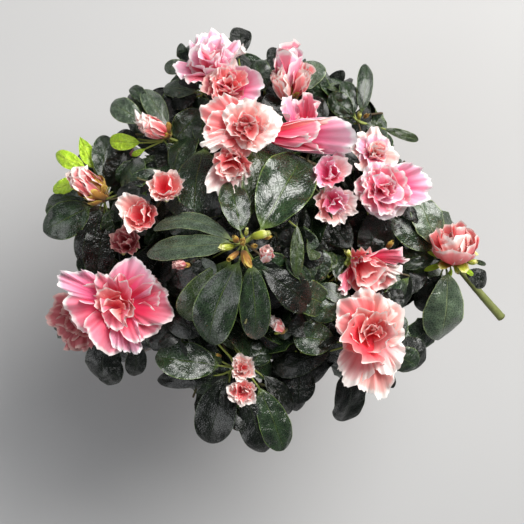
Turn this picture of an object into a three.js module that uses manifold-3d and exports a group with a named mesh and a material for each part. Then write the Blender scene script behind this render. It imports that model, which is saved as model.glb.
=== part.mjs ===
// Potted azalea in bloom: a plain clay pot, its soil, a short stem that forks at once,
// the boughs that fan out from it, and the masses of foliage and blossom of a domed crown.
// Millimetres, +Z up. The origin is the centre of the pot's flat underside.
// Seen from straight above, +Y is the back of the crown and +X its right-hand side.

import * as THREE from 'three';
import { mergeVertices } from 'three/addons/utils/BufferGeometryUtils.js';
import Module from 'manifold-3d';

const wasm = await Module();
wasm.setup();

// Clay pot: a tapered body with a thicker band round its mouth
const POT_HEIGHT = 115;
const FOOT_RADIUS = 44;
const NECK_RADIUS = 59;
const BAND_RADIUS = 65;
const BAND_HEIGHT = 27;
const POT_WALL = 5;
const POT_FLOOR = 7;
const EDGE_ROUND = 1.6;
const POT_SIDES = 32;

// Soil, filled to a little below the brim
const SOIL_BELOW_BRIM = 9;
const SOIL_TOP = POT_HEIGHT - SOIL_BELOW_BRIM;

// Clearance that neighbouring solids keep, and how far facets may be evened out after a cut
const GAP = 0.3;
const EVENING = 0.1;

// Stem: cut flat at the soil, flared over its roots, leaning slightly to its fork
const STEM_HEIGHT = 37;
const STEM_RADIUS = 6.4;
const STEM_FORK_RADIUS = 5.2;
const FLARE_SPREAD = 6.5;
const FLARE_HEIGHT = 7;
const FLARE_ROOTS = 5;
const FLARE_RIDGE = 0.2;
const STEM_LEAN = new THREE.Vector2(4, -3);
const STEM_SIDES = 15;
const STEM_STEPS = 8;

// Boughs: each leaves the stem at its own height and tapers to its mass
const BOUGH_SIDES = 7;
const BOUGH_STEPS = 6;
const BOUGH_TIP_RADIUS = 1.7;
const BOUGH_COLLAR = 0.35;
const COLLAR_FADE = 14;
const BOUGH_RISE = 0.42;
const BOUGHS = [
  { name: 'bough_crown', to: 'foliage_crown', fork: 35, radius: 3.6 },
  { name: 'bough_back', to: 'foliage_back', fork: 17, radius: 3.4 },
  { name: 'bough_back_right', to: 'foliage_back_right', fork: 29, radius: 3.2 },
  { name: 'bough_right', to: 'foliage_right', fork: 17, radius: 3.6 },
  { name: 'bough_side_shoot', to: 'foliage_side_shoot', fork: 29, radius: 3.0 },
  { name: 'bough_front_right', to: 'foliage_front_right', fork: 17, radius: 3.6 },
  { name: 'bough_front', to: 'foliage_front', fork: 29, radius: 3.4 },
  { name: 'bough_front_left', to: 'foliage_front_left', fork: 17, radius: 3.6 },
  { name: 'bough_left', to: 'foliage_left', fork: 29, radius: 3.2 },
  { name: 'bough_left_back', to: 'foliage_left_back', fork: 17, radius: 3.2 },
  { name: 'bough_back_left', to: 'foliage_back_left', fork: 29, radius: 3.2 },
];

// Foliage: where each mass is centred, how far it reaches along its own axes, and its turn
const MASSES = [
  { name: 'foliage_crown', at: [-4, -1, 236], reach: [53, 55, 35], turn: 20, detail: 3 },
  { name: 'foliage_back_middle', at: [-2, 60, 220], reach: [35, 38, 35], turn: 60, detail: 3 },
  { name: 'foliage_front_left', at: [-83, -43, 190], reach: [45, 39, 37], turn: 15, detail: 3 },
  { name: 'foliage_front_right', at: [72, -64, 192], reach: [36, 45, 38], turn: -14, detail: 3 },
  { name: 'foliage_right', at: [83, 34, 192], reach: [40, 35, 38], turn: -25, detail: 3 },
  { name: 'foliage_back_left', at: [-23, 101, 190], reach: [36, 34, 40], turn: 25, detail: 3 },
  { name: 'foliage_back', at: [23, 93, 190], reach: [28, 33, 38], turn: 0, detail: 2 },
  { name: 'foliage_front', at: [-8, -90, 190], reach: [46, 41, 35], turn: 8, detail: 3 },
  { name: 'foliage_left', at: [-98, 24, 184], reach: [34, 40, 36], turn: -10, detail: 3 },
  { name: 'foliage_left_back', at: [-57, 66, 190], reach: [34, 35, 36], turn: 40, detail: 2 },
  { name: 'foliage_back_right', at: [60, 79, 186], reach: [36, 33, 36], turn: -30, detail: 3 },
  { name: 'foliage_side_shoot', at: [117, -3, 178], reach: [34, 25, 24], turn: -8, detail: 2 },
  { name: 'foliage_side_leaf', at: [119, -38, 172], reach: [16, 27, 14], turn: 0, detail: 2 },
  { name: 'foliage_right_middle', at: [42, 48, 213], reach: [31, 34, 33], turn: 45, detail: 2 },
  { name: 'foliage_left_middle', at: [-54, 24, 212], reach: [35, 32, 33], turn: 30, detail: 2 },
  { name: 'foliage_front_middle', at: [36, -34, 208], reach: [37, 36, 36], turn: -40, detail: 2 },
  { name: 'foliage_left_front', at: [-38, -46, 204], reach: [36, 38, 36], turn: -60, detail: 2 },
  { name: 'foliage_right_front', at: [74, -14, 190], reach: [37, 27, 36], turn: 5, detail: 2 },
];

// Skirt: a ring of lower masses that closes the crown all round above the brim
const SKIRT_COUNT = 6;
const SKIRT_RING_RADIUS = 73;
const SKIRT_CENTRE_HEIGHT = 151;
const SKIRT_REACH = [39, 42, 27];
const SKIRT_FIRST_ANGLE = 24;

// Tufts: the rosettes of leaves that make a mass knobbly
const TUFTS = 15;
const TUFT_SHARPNESS = 9;
const TUFT_HOLLOW = 0.27;
const TUFT_TURN = 1.7;
const TUFT_TILT = 0.9;
const SKIRT_DETAIL = 2;

// Side shoot: its bare stem runs on past the leaves to a blunt pruned end
const STUB_FROM = [126, -8, 170];
const STUB_BEND = [142, -26, 163];
const STUB_END = [162, -46, 152];
const STUB_RADIUS = 1.9;
const STUB_END_RADIUS = 2.8;

const FINISHES = {
  clay: { color: 0xb4714f, roughness: 0.85, metalness: 0 },
  soil: { color: 0x33261d, roughness: 1, metalness: 0 },
  bark: { color: 0x6a5443, roughness: 0.9, metalness: 0 },
  greenwood: { color: 0x7b8a45, roughness: 0.6, metalness: 0 },
  foliage: { color: 0x2f4230, roughness: 0.5, metalness: 0 },
};

// A closed geometry with its shared vertices merged becomes a solid that can be cut
function solid(geometry) {
  geometry.deleteAttribute('normal');
  geometry.deleteAttribute('uv');
  const merged = mergeVertices(geometry, 1e-4);
  return new wasm.Manifold(new wasm.Mesh({
    numProp: 3,
    vertProperties: new Float32Array(merged.attributes.position.array),
    triVerts: new Uint32Array(merged.index.array),
  }));
}

// The solid's triangles as a geometry for the scene graph
function surface(body) {
  const mesh = body.getMesh();
  const geometry = new THREE.BufferGeometry();
  geometry.setAttribute('position', new THREE.BufferAttribute(new Float32Array(mesh.vertProperties), 3));
  geometry.setIndex(new THREE.BufferAttribute(new Uint32Array(mesh.triVerts), 1));
  geometry.computeVertexNormals();
  return geometry;
}

// A full turn of a profile given as [radius, height] pairs that start and end on the axis
function turned(profile, sides) {
  const points = profile.map(([radius, height]) => new THREE.Vector2(radius, height));
  return solid(new THREE.LatheGeometry(points, sides).rotateX(Math.PI / 2));
}

function neckHeight() {
  return POT_HEIGHT - BAND_HEIGHT;
}

function outerRadius(height) {
  return FOOT_RADIUS + (NECK_RADIUS - FOOT_RADIUS) * height / neckHeight();
}

function innerRadius(height) {
  return outerRadius(height) - POT_WALL;
}

function potSolid() {
  return turned([
    [0, 0],
    [FOOT_RADIUS - EDGE_ROUND, 0],
    [FOOT_RADIUS, EDGE_ROUND],
    [outerRadius(neckHeight()), neckHeight()],
    [BAND_RADIUS - EDGE_ROUND, neckHeight()],
    [BAND_RADIUS, neckHeight() + EDGE_ROUND],
    [BAND_RADIUS, POT_HEIGHT - EDGE_ROUND],
    [BAND_RADIUS - EDGE_ROUND, POT_HEIGHT],
    [innerRadius(POT_HEIGHT) + EDGE_ROUND, POT_HEIGHT],
    [innerRadius(POT_HEIGHT), POT_HEIGHT - EDGE_ROUND],
    [innerRadius(POT_FLOOR), POT_FLOOR],
    [0, POT_FLOOR],
  ], POT_SIDES);
}

function soilSolid() {
  const bottom = POT_FLOOR + GAP;
  return turned([
    [0, bottom],
    [innerRadius(bottom) - GAP, bottom],
    [innerRadius(SOIL_TOP) - GAP, SOIL_TOP],
    [0, SOIL_TOP],
  ], POT_SIDES);
}

// A closed tube whose rings stand square to a path, with its radius worked out at each ring.
// ringRadius takes the share of the path from 0 to 1 and the angle round the ring.
function limb(path, ringRadius, sides, steps, level = false) {
  const frames = path.computeFrenetFrames(steps, false);
  const vertices = [];
  const triangles = [];
  for (let step = 0; step <= steps; step += 1) {
    const along = step / steps;
    const middle = path.getPointAt(along);
    const across = level ? new THREE.Vector3(1, 0, 0) : frames.normals[step];
    const beside = level ? new THREE.Vector3(0, 1, 0) : frames.binormals[step];
    for (let side = 0; side < sides; side += 1) {
      const angle = 2 * Math.PI * side / sides;
      const radius = ringRadius(along, angle);
      const point = middle.clone()
        .addScaledVector(across, radius * Math.cos(angle))
        .addScaledVector(beside, radius * Math.sin(angle));
      vertices.push(point.x, point.y, point.z);
    }
  }
  for (let step = 0; step < steps; step += 1) {
    for (let side = 0; side < sides; side += 1) {
      const next = (side + 1) % sides;
      const here = step * sides;
      const above = here + sides;
      triangles.push(here + side, here + next, above + next);
      triangles.push(here + side, above + next, above + side);
    }
  }
  const foot = vertices.length / 3;
  vertices.push(...path.getPointAt(0).toArray(), ...path.getPointAt(1).toArray());
  const last = steps * sides;
  for (let side = 0; side < sides; side += 1) {
    const next = (side + 1) % sides;
    triangles.push(foot, next, side);
    triangles.push(foot + 1, last + side, last + next);
  }
  const geometry = new THREE.BufferGeometry();
  geometry.setAttribute('position', new THREE.Float32BufferAttribute(vertices, 3));
  geometry.setIndex(triangles);
  return solid(geometry);
}

function stemPoint(height) {
  const share = height / STEM_HEIGHT;
  const lean = STEM_LEAN.clone().multiplyScalar(share);
  return new THREE.Vector3(lean.x, lean.y, SOIL_TOP + GAP + height);
}

function stemSolid(extra = 0) {
  const path = new THREE.LineCurve3(stemPoint(0), stemPoint(STEM_HEIGHT + extra));
  const ringRadius = (along, angle) => {
    const fade = Math.exp(-along * STEM_HEIGHT / FLARE_HEIGHT);
    const taper = STEM_RADIUS + (STEM_FORK_RADIUS - STEM_RADIUS) * along;
    const ridge = 1 + FLARE_RIDGE * fade * Math.cos(FLARE_ROOTS * angle);
    return (taper + FLARE_SPREAD * fade) * ridge + extra;
  };
  return limb(path, ringRadius, STEM_SIDES, STEM_STEPS, true);
}

// Even directions over a sphere, turned by a different amount for each mass
function tuftDirections(seed) {
  const golden = Math.PI * (3 - Math.sqrt(5));
  return Array.from({ length: TUFTS }, (_, index) => {
    const height = 1 - 2 * (index + 0.5) / TUFTS;
    const radius = Math.sqrt(1 - height * height);
    const angle = index * golden + seed * TUFT_TURN;
    const tuft = new THREE.Vector3(radius * Math.cos(angle), radius * Math.sin(angle), height);
    return tuft.applyAxisAngle(new THREE.Vector3(1, 0, 0), seed * TUFT_TILT);
  });
}

// Share of the full reach in one direction: 1 at the tip of a tuft, less between the tufts
function tuftReach(direction, tufts) {
  let nearest = 0;
  for (const tuft of tufts) {
    nearest = Math.max(nearest, Math.exp(TUFT_SHARPNESS * (direction.dot(tuft) - 1)));
  }
  return 1 - TUFT_HOLLOW * (1 - nearest);
}

function massSolid(mass, extra = 0) {
  const geometry = new THREE.IcosahedronGeometry(1, mass.detail);
  const tufts = tuftDirections(mass.seed);
  const place = geometry.attributes.position;
  const point = new THREE.Vector3();
  for (let index = 0; index < place.count; index += 1) {
    point.fromBufferAttribute(place, index).normalize();
    const share = tuftReach(point, tufts);
    place.setXYZ(
      index,
      point.x * (mass.reach[0] * share + extra),
      point.y * (mass.reach[1] * share + extra),
      point.z * (mass.reach[2] * share + extra),
    );
  }
  geometry.rotateZ(THREE.MathUtils.degToRad(mass.turn));
  geometry.translate(...mass.at);
  return solid(geometry);
}

// How far a mass reaches from its centre along a direction, tufts left aside
function reachAlong(mass, direction) {
  const turnBack = -THREE.MathUtils.degToRad(mass.turn);
  const own = direction.clone().applyAxisAngle(new THREE.Vector3(0, 0, 1), turnBack);
  return 1 / own.divide(new THREE.Vector3(...mass.reach)).length();
}

// Where two masses meet, each is cut back to its side of the plane between them
function cutAtNeighbours(mass, others) {
  let body = massSolid(mass);
  const centre = new THREE.Vector3(...mass.at);
  for (const other of others) {
    const towards = new THREE.Vector3(...other.at).sub(centre);
    const distance = towards.length();
    towards.normalize();
    const ownReach = reachAlong(mass, towards);
    const otherReach = reachAlong(other, towards);
    if (ownReach + otherReach > distance) {
      const share = distance * ownReach / (ownReach + otherReach) - GAP / 2;
      body = body.trimByPlane(towards.clone().negate().toArray(), -(towards.dot(centre) + share));
    }
  }
  return body;
}

function skirtMasses() {
  return Array.from({ length: SKIRT_COUNT }, (_, index) => {
    const degrees = SKIRT_FIRST_ANGLE + index * 360 / SKIRT_COUNT;
    const angle = THREE.MathUtils.degToRad(degrees);
    return {
      name: `foliage_skirt_${index + 1}`,
      at: [SKIRT_RING_RADIUS * Math.cos(angle), SKIRT_RING_RADIUS * Math.sin(angle), SKIRT_CENTRE_HEIGHT],
      reach: SKIRT_REACH,
      turn: degrees,
      detail: SKIRT_DETAIL,
    };
  });
}

// The one piece of a cut solid that scores highest, so that no chip is left loose
function keepPiece(body, score) {
  const pieces = body.decompose();
  return pieces.reduce((best, piece) => (score(piece) > score(best) ? piece : best));
}

const azalea = new THREE.Group();
azalea.name = 'azalea';

function add(name, body, finish) {
  const mesh = new THREE.Mesh(surface(body), new THREE.MeshStandardMaterial(FINISHES[finish]));
  mesh.name = name;
  azalea.add(mesh);
}

add('pot', potSolid(), 'clay');
add('soil', soilSolid(), 'soil');
add('trunk', stemSolid(), 'bark');

const masses = [...MASSES, ...skirtMasses()].map((mass, index) => ({ ...mass, seed: index + 1 }));
for (const mass of masses) {
  const others = masses.filter((other) => other !== mass);
  add(mass.name, cutAtNeighbours(mass, others).simplify(EVENING), 'foliage');
}
const crown = masses.map((mass) => massSolid(mass, GAP)).reduce((whole, piece) => whole.add(piece));

// Boughs, cut at the stem and at each other, and ending where they enter a mass
let taken = crown.add(stemSolid(GAP));
for (const bough of BOUGHS) {
  const start = stemPoint(bough.fork);
  const end = new THREE.Vector3(...masses.find((mass) => mass.name === bough.to).at);
  const bend = start.clone().lerp(end, 0.5);
  bend.z = start.z + (end.z - start.z) * BOUGH_RISE;
  const path = new THREE.QuadraticBezierCurve3(start, bend, end);
  const tube = (extra) => limb(path, (along) => {
    const collar = 1 + BOUGH_COLLAR * Math.exp(-along * COLLAR_FADE);
    return (bough.radius + (BOUGH_TIP_RADIUS - bough.radius) * along) * collar + extra;
  }, BOUGH_SIDES, BOUGH_STEPS);
  const lowest = (piece) => -piece.boundingBox().min[2];
  add(bough.name, keepPiece(tube(0).subtract(taken).simplify(EVENING), lowest), 'bark');
  taken = taken.add(tube(GAP));
}

// The side shoot's bare stem, from its leaves to the pruned end
const stubPath = new THREE.QuadraticBezierCurve3(
  new THREE.Vector3(...STUB_FROM),
  new THREE.Vector3(...STUB_BEND),
  new THREE.Vector3(...STUB_END),
);
const stub = limb(
  stubPath,
  (along) => STUB_RADIUS + (STUB_END_RADIUS - STUB_RADIUS) * along,
  BOUGH_SIDES,
  BOUGH_STEPS,
);
const furthest = (piece) => piece.boundingBox().max[0];
add('side_stem_stub', keepPiece(stub.subtract(crown), furthest), 'greenwood');

export default azalea;
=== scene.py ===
"""Azalea in bloom in a plain clay pot: the looks of every piece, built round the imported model.

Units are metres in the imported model's own frame: +Z up, the pot's flat underside at Z 0, and +Y the
back of the crown, which is the upper edge of the view from straight above.
"""

import math

import bmesh
import bpy
import numpy as np
from mathutils import Matrix, Vector, noise
from mathutils.bvhtree import BVHTree


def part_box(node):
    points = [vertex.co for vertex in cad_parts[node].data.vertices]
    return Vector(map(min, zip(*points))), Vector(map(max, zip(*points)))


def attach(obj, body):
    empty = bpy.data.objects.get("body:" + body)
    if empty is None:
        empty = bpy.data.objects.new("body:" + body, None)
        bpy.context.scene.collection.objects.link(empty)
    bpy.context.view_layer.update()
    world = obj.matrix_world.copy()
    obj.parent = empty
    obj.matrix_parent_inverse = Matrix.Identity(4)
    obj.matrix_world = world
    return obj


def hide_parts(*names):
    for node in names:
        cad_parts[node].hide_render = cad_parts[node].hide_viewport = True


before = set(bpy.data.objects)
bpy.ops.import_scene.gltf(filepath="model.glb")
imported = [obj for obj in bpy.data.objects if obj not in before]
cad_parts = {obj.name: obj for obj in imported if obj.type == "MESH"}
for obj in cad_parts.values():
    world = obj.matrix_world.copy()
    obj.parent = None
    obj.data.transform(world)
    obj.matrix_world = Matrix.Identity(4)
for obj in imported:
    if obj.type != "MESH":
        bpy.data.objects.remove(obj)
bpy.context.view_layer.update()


# Clay pot
# A plain round pot of red clay, turned and fired without glaze, with a thicker band round its mouth.
# Watering has left pale salt on the band and a darker, damp foot.
class Value:
    """A node's output, on which +, -, * and abs() add Math nodes."""

    def __init__(self, finish, socket):
        self.finish = finish
        self.socket = socket

    def maths(self, operation, first, second):
        return self.finish.node("ShaderNodeMath", {"operation": operation}, {0: first, 1: second})

    def __add__(self, other):
        return self.maths("ADD", self, other)

    def __sub__(self, other):
        return self.maths("SUBTRACT", self, other)

    def __rsub__(self, other):
        return self.maths("SUBTRACT", other, self)

    def __mul__(self, other):
        return self.maths("MULTIPLY", self, other)

    def __abs__(self):
        return self.maths("ABSOLUTE", self, 0.0)

    def larger(self, other):
        return self.maths("MAXIMUM", self, other)

    def repeated(self):
        """What is left over whole numbers, which runs from 0 to 1 again and again."""
        return self.maths("FRACT", self, 0.0)

    __radd__ = __add__


class Finish:
    """A material whose nodes are added by node() and joined by values."""

    def __init__(self, name):
        self.material = bpy.data.materials.new(name)
        self.material.use_nodes = True
        self.tree = self.material.node_tree
        self.tree.nodes.clear()

    def socket(self, sockets, name):
        """The socket of that number, identifier or name."""
        if isinstance(name, int):
            return sockets[name]
        return next(s for s in sockets if name in (s.identifier, s.name))

    def node(self, kind, settings=None, values=None, output=0):
        """Adds a node with its settings and then its sockets' values or links, and gives one output."""
        made = self.tree.nodes.new(kind)
        for name, setting in (settings or {}).items():
            setattr(made, name, setting)
        for name, value in (values or {}).items():
            socket = self.socket(made.inputs, name)
            if isinstance(value, Value):
                self.tree.links.new(value.socket, socket)
            elif socket.type == "RGBA":
                socket.default_value = (*value, 1.0)
            else:
                socket.default_value = value
        return Value(self, self.socket(made.outputs, output)) if made.outputs else None

    def place(self):
        """The place on the plant, in the model's own frame."""
        return self.node("ShaderNodeTexCoord", output="Object")

    def drawn(self):
        """The place on the piece's own map."""
        return self.node("ShaderNodeUVMap", {"uv_map": "OFBake"})

    def part(self, place, letter):
        """A place's distance along one axis."""
        return self.node("ShaderNodeSeparateXYZ", values={0: place}, output=letter)

    def stretched(self, place, *scale):
        """A place whose pattern is finer along the axes with a larger scale."""
        return self.node("ShaderNodeMapping", values={"Vector": place, "Scale": scale})

    def mix(self, share, first, second):
        """The first colour at a share of 0 and the second at 1."""
        values = {"Factor_Float": share, "A_Color": first, "B_Color": second}
        return self.node("ShaderNodeMix", {"data_type": "RGBA"}, values, "Result_Color")

    def step(self, value, low, high):
        """A smooth rise from 0 to 1 while the value goes from low to high."""
        values = {"Value": value, "From Min": low, "From Max": high}
        return self.node("ShaderNodeMapRange", {"interpolation_type": "SMOOTHSTEP"}, values)

    def grain(self, place, scale, detail=3.0, rough=0.55):
        values = {"Vector": place, "Scale": scale, "Detail": detail, "Roughness": rough}
        return self.node("ShaderNodeTexNoise", {}, values)

    def bump(self, height, strength, distance):
        values = {"Height": height, "Strength": strength, "Distance": distance}
        return self.node("ShaderNodeBump", {}, values)

    def surface(self, through=0.0, **sockets):
        """The finished surface. A thin piece also shows the light behind it, by the share through."""
        values = {name.replace("_", " "): value for name, value in sockets.items()}
        shader = self.node("ShaderNodeBsdfPrincipled", {}, values)
        if through:
            values = {"Color": sockets["Base_Color"], "Normal": sockets["Normal"]}
            behind = self.node("ShaderNodeBsdfTranslucent", {}, values)
            shader = self.node("ShaderNodeMixShader", {}, {0: through, 1: shader, 2: behind})
        self.node("ShaderNodeOutputMaterial", values={"Surface": shader})
        return self.material


def put_in(name, data):
    """Puts a mesh, a line, a lamp or a camera into the scene."""
    made = bpy.data.objects.new(name, data)
    bpy.context.scene.collection.objects.link(made)
    return made


def mesh_of(name, bm):
    mesh = bpy.data.meshes.new(name)
    bm.to_mesh(mesh)
    bm.free()
    return mesh


def add_piece(name, shape, finish, replaced=(), crease=None):
    """Makes a piece of a bmesh or a mesh, smooth but for creases, riding on the one body."""
    mesh = mesh_of(name, shape) if isinstance(shape, bmesh.types.BMesh) else shape
    mesh.shade_smooth()
    if crease:
        mesh.set_sharp_from_angle(angle=math.radians(crease))
    mesh.materials.clear()
    mesh.materials.append(finish)
    made = put_in(name, mesh)
    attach(made, "root")
    if replaced:
        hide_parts(*replaced)


def turned(profile, steps, rounded=0.0, corner=25.0):
    """A shape turned about Z from its half outline of (radius, height), sharp corners rounded."""
    bm = bmesh.new()
    verts = [bm.verts.new((radius, 0.0, height)) for radius, height in profile]
    edges = [bm.edges.new(pair) for pair in zip(verts, verts[1:])]
    bmesh.ops.spin(
        bm, geom=verts + edges, cent=(0, 0, 0), axis=(0, 0, 1), angle=math.tau, steps=steps, use_merge=True
    )
    bmesh.ops.remove_doubles(bm, verts=bm.verts, dist=1e-6)
    bmesh.ops.recalc_face_normals(bm, faces=bm.faces)
    if rounded:
        corners = [e for e in bm.edges if e.calc_face_angle(0.0) > math.radians(corner)]
        bmesh.ops.bevel(
            bm, geom=corners, offset=rounded, segments=3, profile=0.5, affect="EDGES", material=-1
        )
    return bm


pot_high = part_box("pot")[1]
POT_HEIGHT = pot_high.z
BAND_RADIUS = pot_high.x
BAND_HEIGHT = 0.027
BAND_TAPER = 0.0012
BAND_ROUNDING = 0.0013
POT_STEPS = 96
NECK_RADIUS = 0.059
FOOT_RADIUS = 0.044
POT_WALL = 0.005
POT_FLOOR = 0.007
neck_height = POT_HEIGHT - BAND_HEIGHT
wall_slope = (NECK_RADIUS - FOOT_RADIUS) / neck_height


def inside_radius(height):
    return FOOT_RADIUS + wall_slope * height - POT_WALL


pot_outline = [
    (0.0, 0.0),
    (FOOT_RADIUS, 0.0),
    (NECK_RADIUS, neck_height),
    (BAND_RADIUS - BAND_TAPER, neck_height),
    (BAND_RADIUS, POT_HEIGHT),
    (inside_radius(POT_HEIGHT), POT_HEIGHT),
    (inside_radius(POT_FLOOR), POT_FLOOR),
    (0.0, POT_FLOOR),
]
clay = Finish("clay")
clay_place = clay.place()
clay_height = clay.part(clay_place, "Z")
clay_cloud = clay.grain(clay_place, 22.0)
clay_speck = clay.grain(clay_place, 900.0, 2.0)
turning = clay.node(
    "ShaderNodeTexWave", {"bands_direction": "Z"}, {"Vector": clay_place, "Scale": 90.0, "Distortion": 1.5}
)
salt = clay.step(clay_cloud * 0.7 + clay_height * 4.0, 0.66, 0.95)
damp = 1 - clay.step(clay_height + clay_cloud * 0.02, 0.012, 0.05)
fired = clay.mix(clay_speck, (0.36, 0.125, 0.055), (0.52, 0.2, 0.1))
clay_colour = clay.mix(damp * 0.55, clay.mix(salt * 0.4, fired, (0.62, 0.42, 0.32)), (0.2, 0.075, 0.04))
clay_skin = clay.surface(
    Base_Color=clay_colour,
    Roughness=0.78 + clay_cloud * 0.15,
    Normal=clay.bump(turning * 0.6 + clay_speck, 0.25, 0.0004),
)
add_piece("pot_clay", turned(pot_outline, POT_STEPS, BAND_ROUNDING), clay_skin, ["pot"], crease=50)


# Peat in the pot
# Dark, crumbly peat fills the pot to a finger's breadth under the brim. Its surface is pressed
# unevenly round the stem, and loose crumbs and chips of bark lie on it.
class Pattern:
    """A small flat sheet or lump that is bent and copied many times, and its place on the UV map."""

    def __init__(self, bm, mapped):
        bm.verts.ensure_lookup_table()
        self.flat = np.array([v.co[:] for v in bm.verts])
        self.faces = np.array([[v.index for v in f.verts] for f in bm.faces])
        self.mapped = mapped(self.flat)
        bm.free()


class Heap:
    """Many bent copies of patterns, joined into one mesh with one UV map."""

    def __init__(self):
        self.points, self.faces, self.mapped, self.size = [], [], [], 0

    def add(self, pattern, points, mapped=None):
        self.points.append(points)
        self.faces += (pattern.faces + self.size).tolist()
        self.mapped.append((pattern.mapped if mapped is None else mapped)[pattern.faces.ravel()])
        self.size += len(points)

    def mesh(self, name):
        mesh = bpy.data.meshes.new(name)
        mesh.from_pydata(np.concatenate(self.points).tolist(), [], self.faces)
        uv = np.concatenate(self.mapped).astype(np.float32)
        mesh.uv_layers.new(name="OFBake").data.foreach_set("uv", uv.ravel())
        return mesh


SOIL_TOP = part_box("soil")[1].z
SOIL_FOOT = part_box("soil")[0].z
SOIL_GAP = 0.0003
SOIL_RINGS = 22
SOIL_STEPS = 72
LUMPS = 90  # to a metre
LUMP_HEIGHT = 0.0016
MOUND_HEIGHT = 0.002
MOUND_RADIUS = 0.03
soil_radius = inside_radius(SOIL_TOP) - SOIL_GAP
soil_outline = [(soil_radius * i / SOIL_RINGS, SOIL_TOP) for i in range(SOIL_RINGS + 1)]
soil_outline += [(inside_radius(SOIL_FOOT) - SOIL_GAP, SOIL_FOOT), (0.0, SOIL_FOOT)]
soil_bm = turned(soil_outline, SOIL_STEPS)
for vert in soil_bm.verts:
    if vert.co.z > SOIL_TOP - 0.001:
        lump = noise.fractal(vert.co * LUMPS, 0.8, 2.0, 4)
        mound = max(0.0, 1 - vert.co.xy.length / MOUND_RADIUS)
        vert.co.z += LUMP_HEIGHT * lump + MOUND_HEIGHT * mound * mound
peat = Finish("peat")
peat_place = peat.place()
peat_crumb = peat.grain(peat_place, 420.0, 5.0, 0.7)
peat_patch = peat.grain(peat_place, 60.0, 2.0)
peat_dry = peat.step(peat_crumb + peat_patch * 0.4, 0.45, 0.95)
peat_skin = peat.surface(
    Base_Color=peat.mix(peat_dry, (0.011, 0.007, 0.005), (0.075, 0.046, 0.028)),
    Roughness=0.95 - peat_patch * 0.15,
    Normal=peat.bump(peat_crumb, 0.9, 0.0012),
)
add_piece("peat", soil_bm, peat_skin, ["soil"])

CRUMBS = 620
SMALLEST_CRUMB = 0.0007
CRUMB_SPREAD = 0.0016
CRUMB_REST = 0.0012
CRUMB_UNEVEN = 0.35
crumb_draws = np.random.default_rng(11)
crumb_bm = bmesh.new()
bmesh.ops.create_icosphere(crumb_bm, subdivisions=1, radius=1.0)
crumb = Pattern(crumb_bm, lambda flat: flat[:, :2] * 0.5 + 0.5)
crumbs = Heap()
for index in range(CRUMBS):
    out = soil_radius * 0.97 * math.sqrt(crumb_draws.random())
    turn = math.tau * crumb_draws.random()
    size = SMALLEST_CRUMB + CRUMB_SPREAD * crumb_draws.random() ** 2
    shape = crumb.flat * (1 + CRUMB_UNEVEN * crumb_draws.standard_normal(crumb.flat.shape))
    shape = shape * size * (1.0, 0.7 + 0.5 * crumb_draws.random(), 0.55)
    swing = np.array(Matrix.Rotation(turn * 3, 3, "Z"))
    place = (out * math.cos(turn), out * math.sin(turn), SOIL_TOP + CRUMB_REST)
    crumbs.add(crumb, shape @ swing.T + place)
chip = Finish("bark_crumbs")
chip_grain = chip.grain(chip.drawn(), 9.0, 4.0, 0.7)
chip_skin = chip.surface(
    Base_Color=chip.mix(chip_grain, (0.018, 0.011, 0.007), (0.14, 0.085, 0.05)),
    Roughness=0.8 + chip_grain * 0.15,
    Normal=chip.bump(chip_grain, 0.6, 0.0006),
)
add_piece("peat_crumbs", crumbs.mesh("peat_crumbs"), chip_skin)


# Stem and main boughs
# One short woody stem rises from the peat, flared over its roots and leaning a little. It forks low
# into eleven boughs that bow out and up into the crown, under grey-brown bark split into fine plates.
def along_bend(start, bend, end, share):
    """A point on the quadratic curve of a limb."""
    return start * (1 - share) ** 2 + bend * (2 * share * (1 - share)) + end * share**2


def ring_frames(points):
    """For each point of a limb's middle line, a turned frame whose Z runs along the limb."""
    points = [Vector(p) for p in points]
    side = None
    frames = []
    for index, point in enumerate(points):
        ahead = (points[min(index + 1, len(points) - 1)] - points[max(index - 1, 0)]).normalized()
        side = ahead.orthogonal() if side is None else side - ahead * side.dot(ahead)
        side.normalize()
        other = ahead.cross(side)
        turn = Matrix((side, other, ahead)).transposed().to_4x4()
        frames.append(Matrix.Translation(point) @ turn)
    return frames


def limb(bm, points, radii, sides, relief):
    """Draws a round limb ring by ring along its middle line, then raises its bark."""
    frames = ring_frames(points)
    ring = bmesh.ops.create_circle(bm, segments=sides, radius=1.0)["verts"]
    edges = list({e for v in ring for e in v.link_edges})
    before = Matrix.Identity(4)
    skin = []
    for index, (place, radius) in enumerate(zip(frames, radii)):
        if index:
            made = bmesh.ops.extrude_edge_only(bm, edges=edges)["geom"]
            ring = [g for g in made if isinstance(g, bmesh.types.BMVert)]
            edges = [g for g in made if isinstance(g, bmesh.types.BMEdge)]
        now = place @ Matrix.Diagonal((radius, radius, 1.0, 1.0))
        bmesh.ops.transform(bm, matrix=now @ before.inverted(), verts=ring)
        before = now
        skin += [(v, place.translation, radius) for v in ring]
    bmesh.ops.contextual_create(bm, geom=edges)
    for vert, middle, radius in skin:
        vert.co = middle + (vert.co - middle) * (1 + relief(vert.co, radius))


PLATES_ACROSS, PLATES_ALONG = 900, 190  # to a metre
KNOTS = 160
PLATE_RELIEF, KNOT_RELIEF = 0.09, 0.13  # as shares of the radius
KNOTTY_RADIUS = 0.002  # of a limb up to which its knots swell it by all of that


def bark_relief(point, radius):
    """Long plates and cracks, and the knots of thin wood, as a share of the radius."""
    stretched = Vector((point.x * PLATES_ACROSS, point.y * PLATES_ACROSS, point.z * PLATES_ALONG))
    plates = noise.fractal(stretched, 0.7, 2.1, 3)
    knots = noise.noise(point * KNOTS)
    return PLATE_RELIEF * plates + KNOT_RELIEF * knots * min(1.0, KNOTTY_RADIUS / radius)


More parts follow.
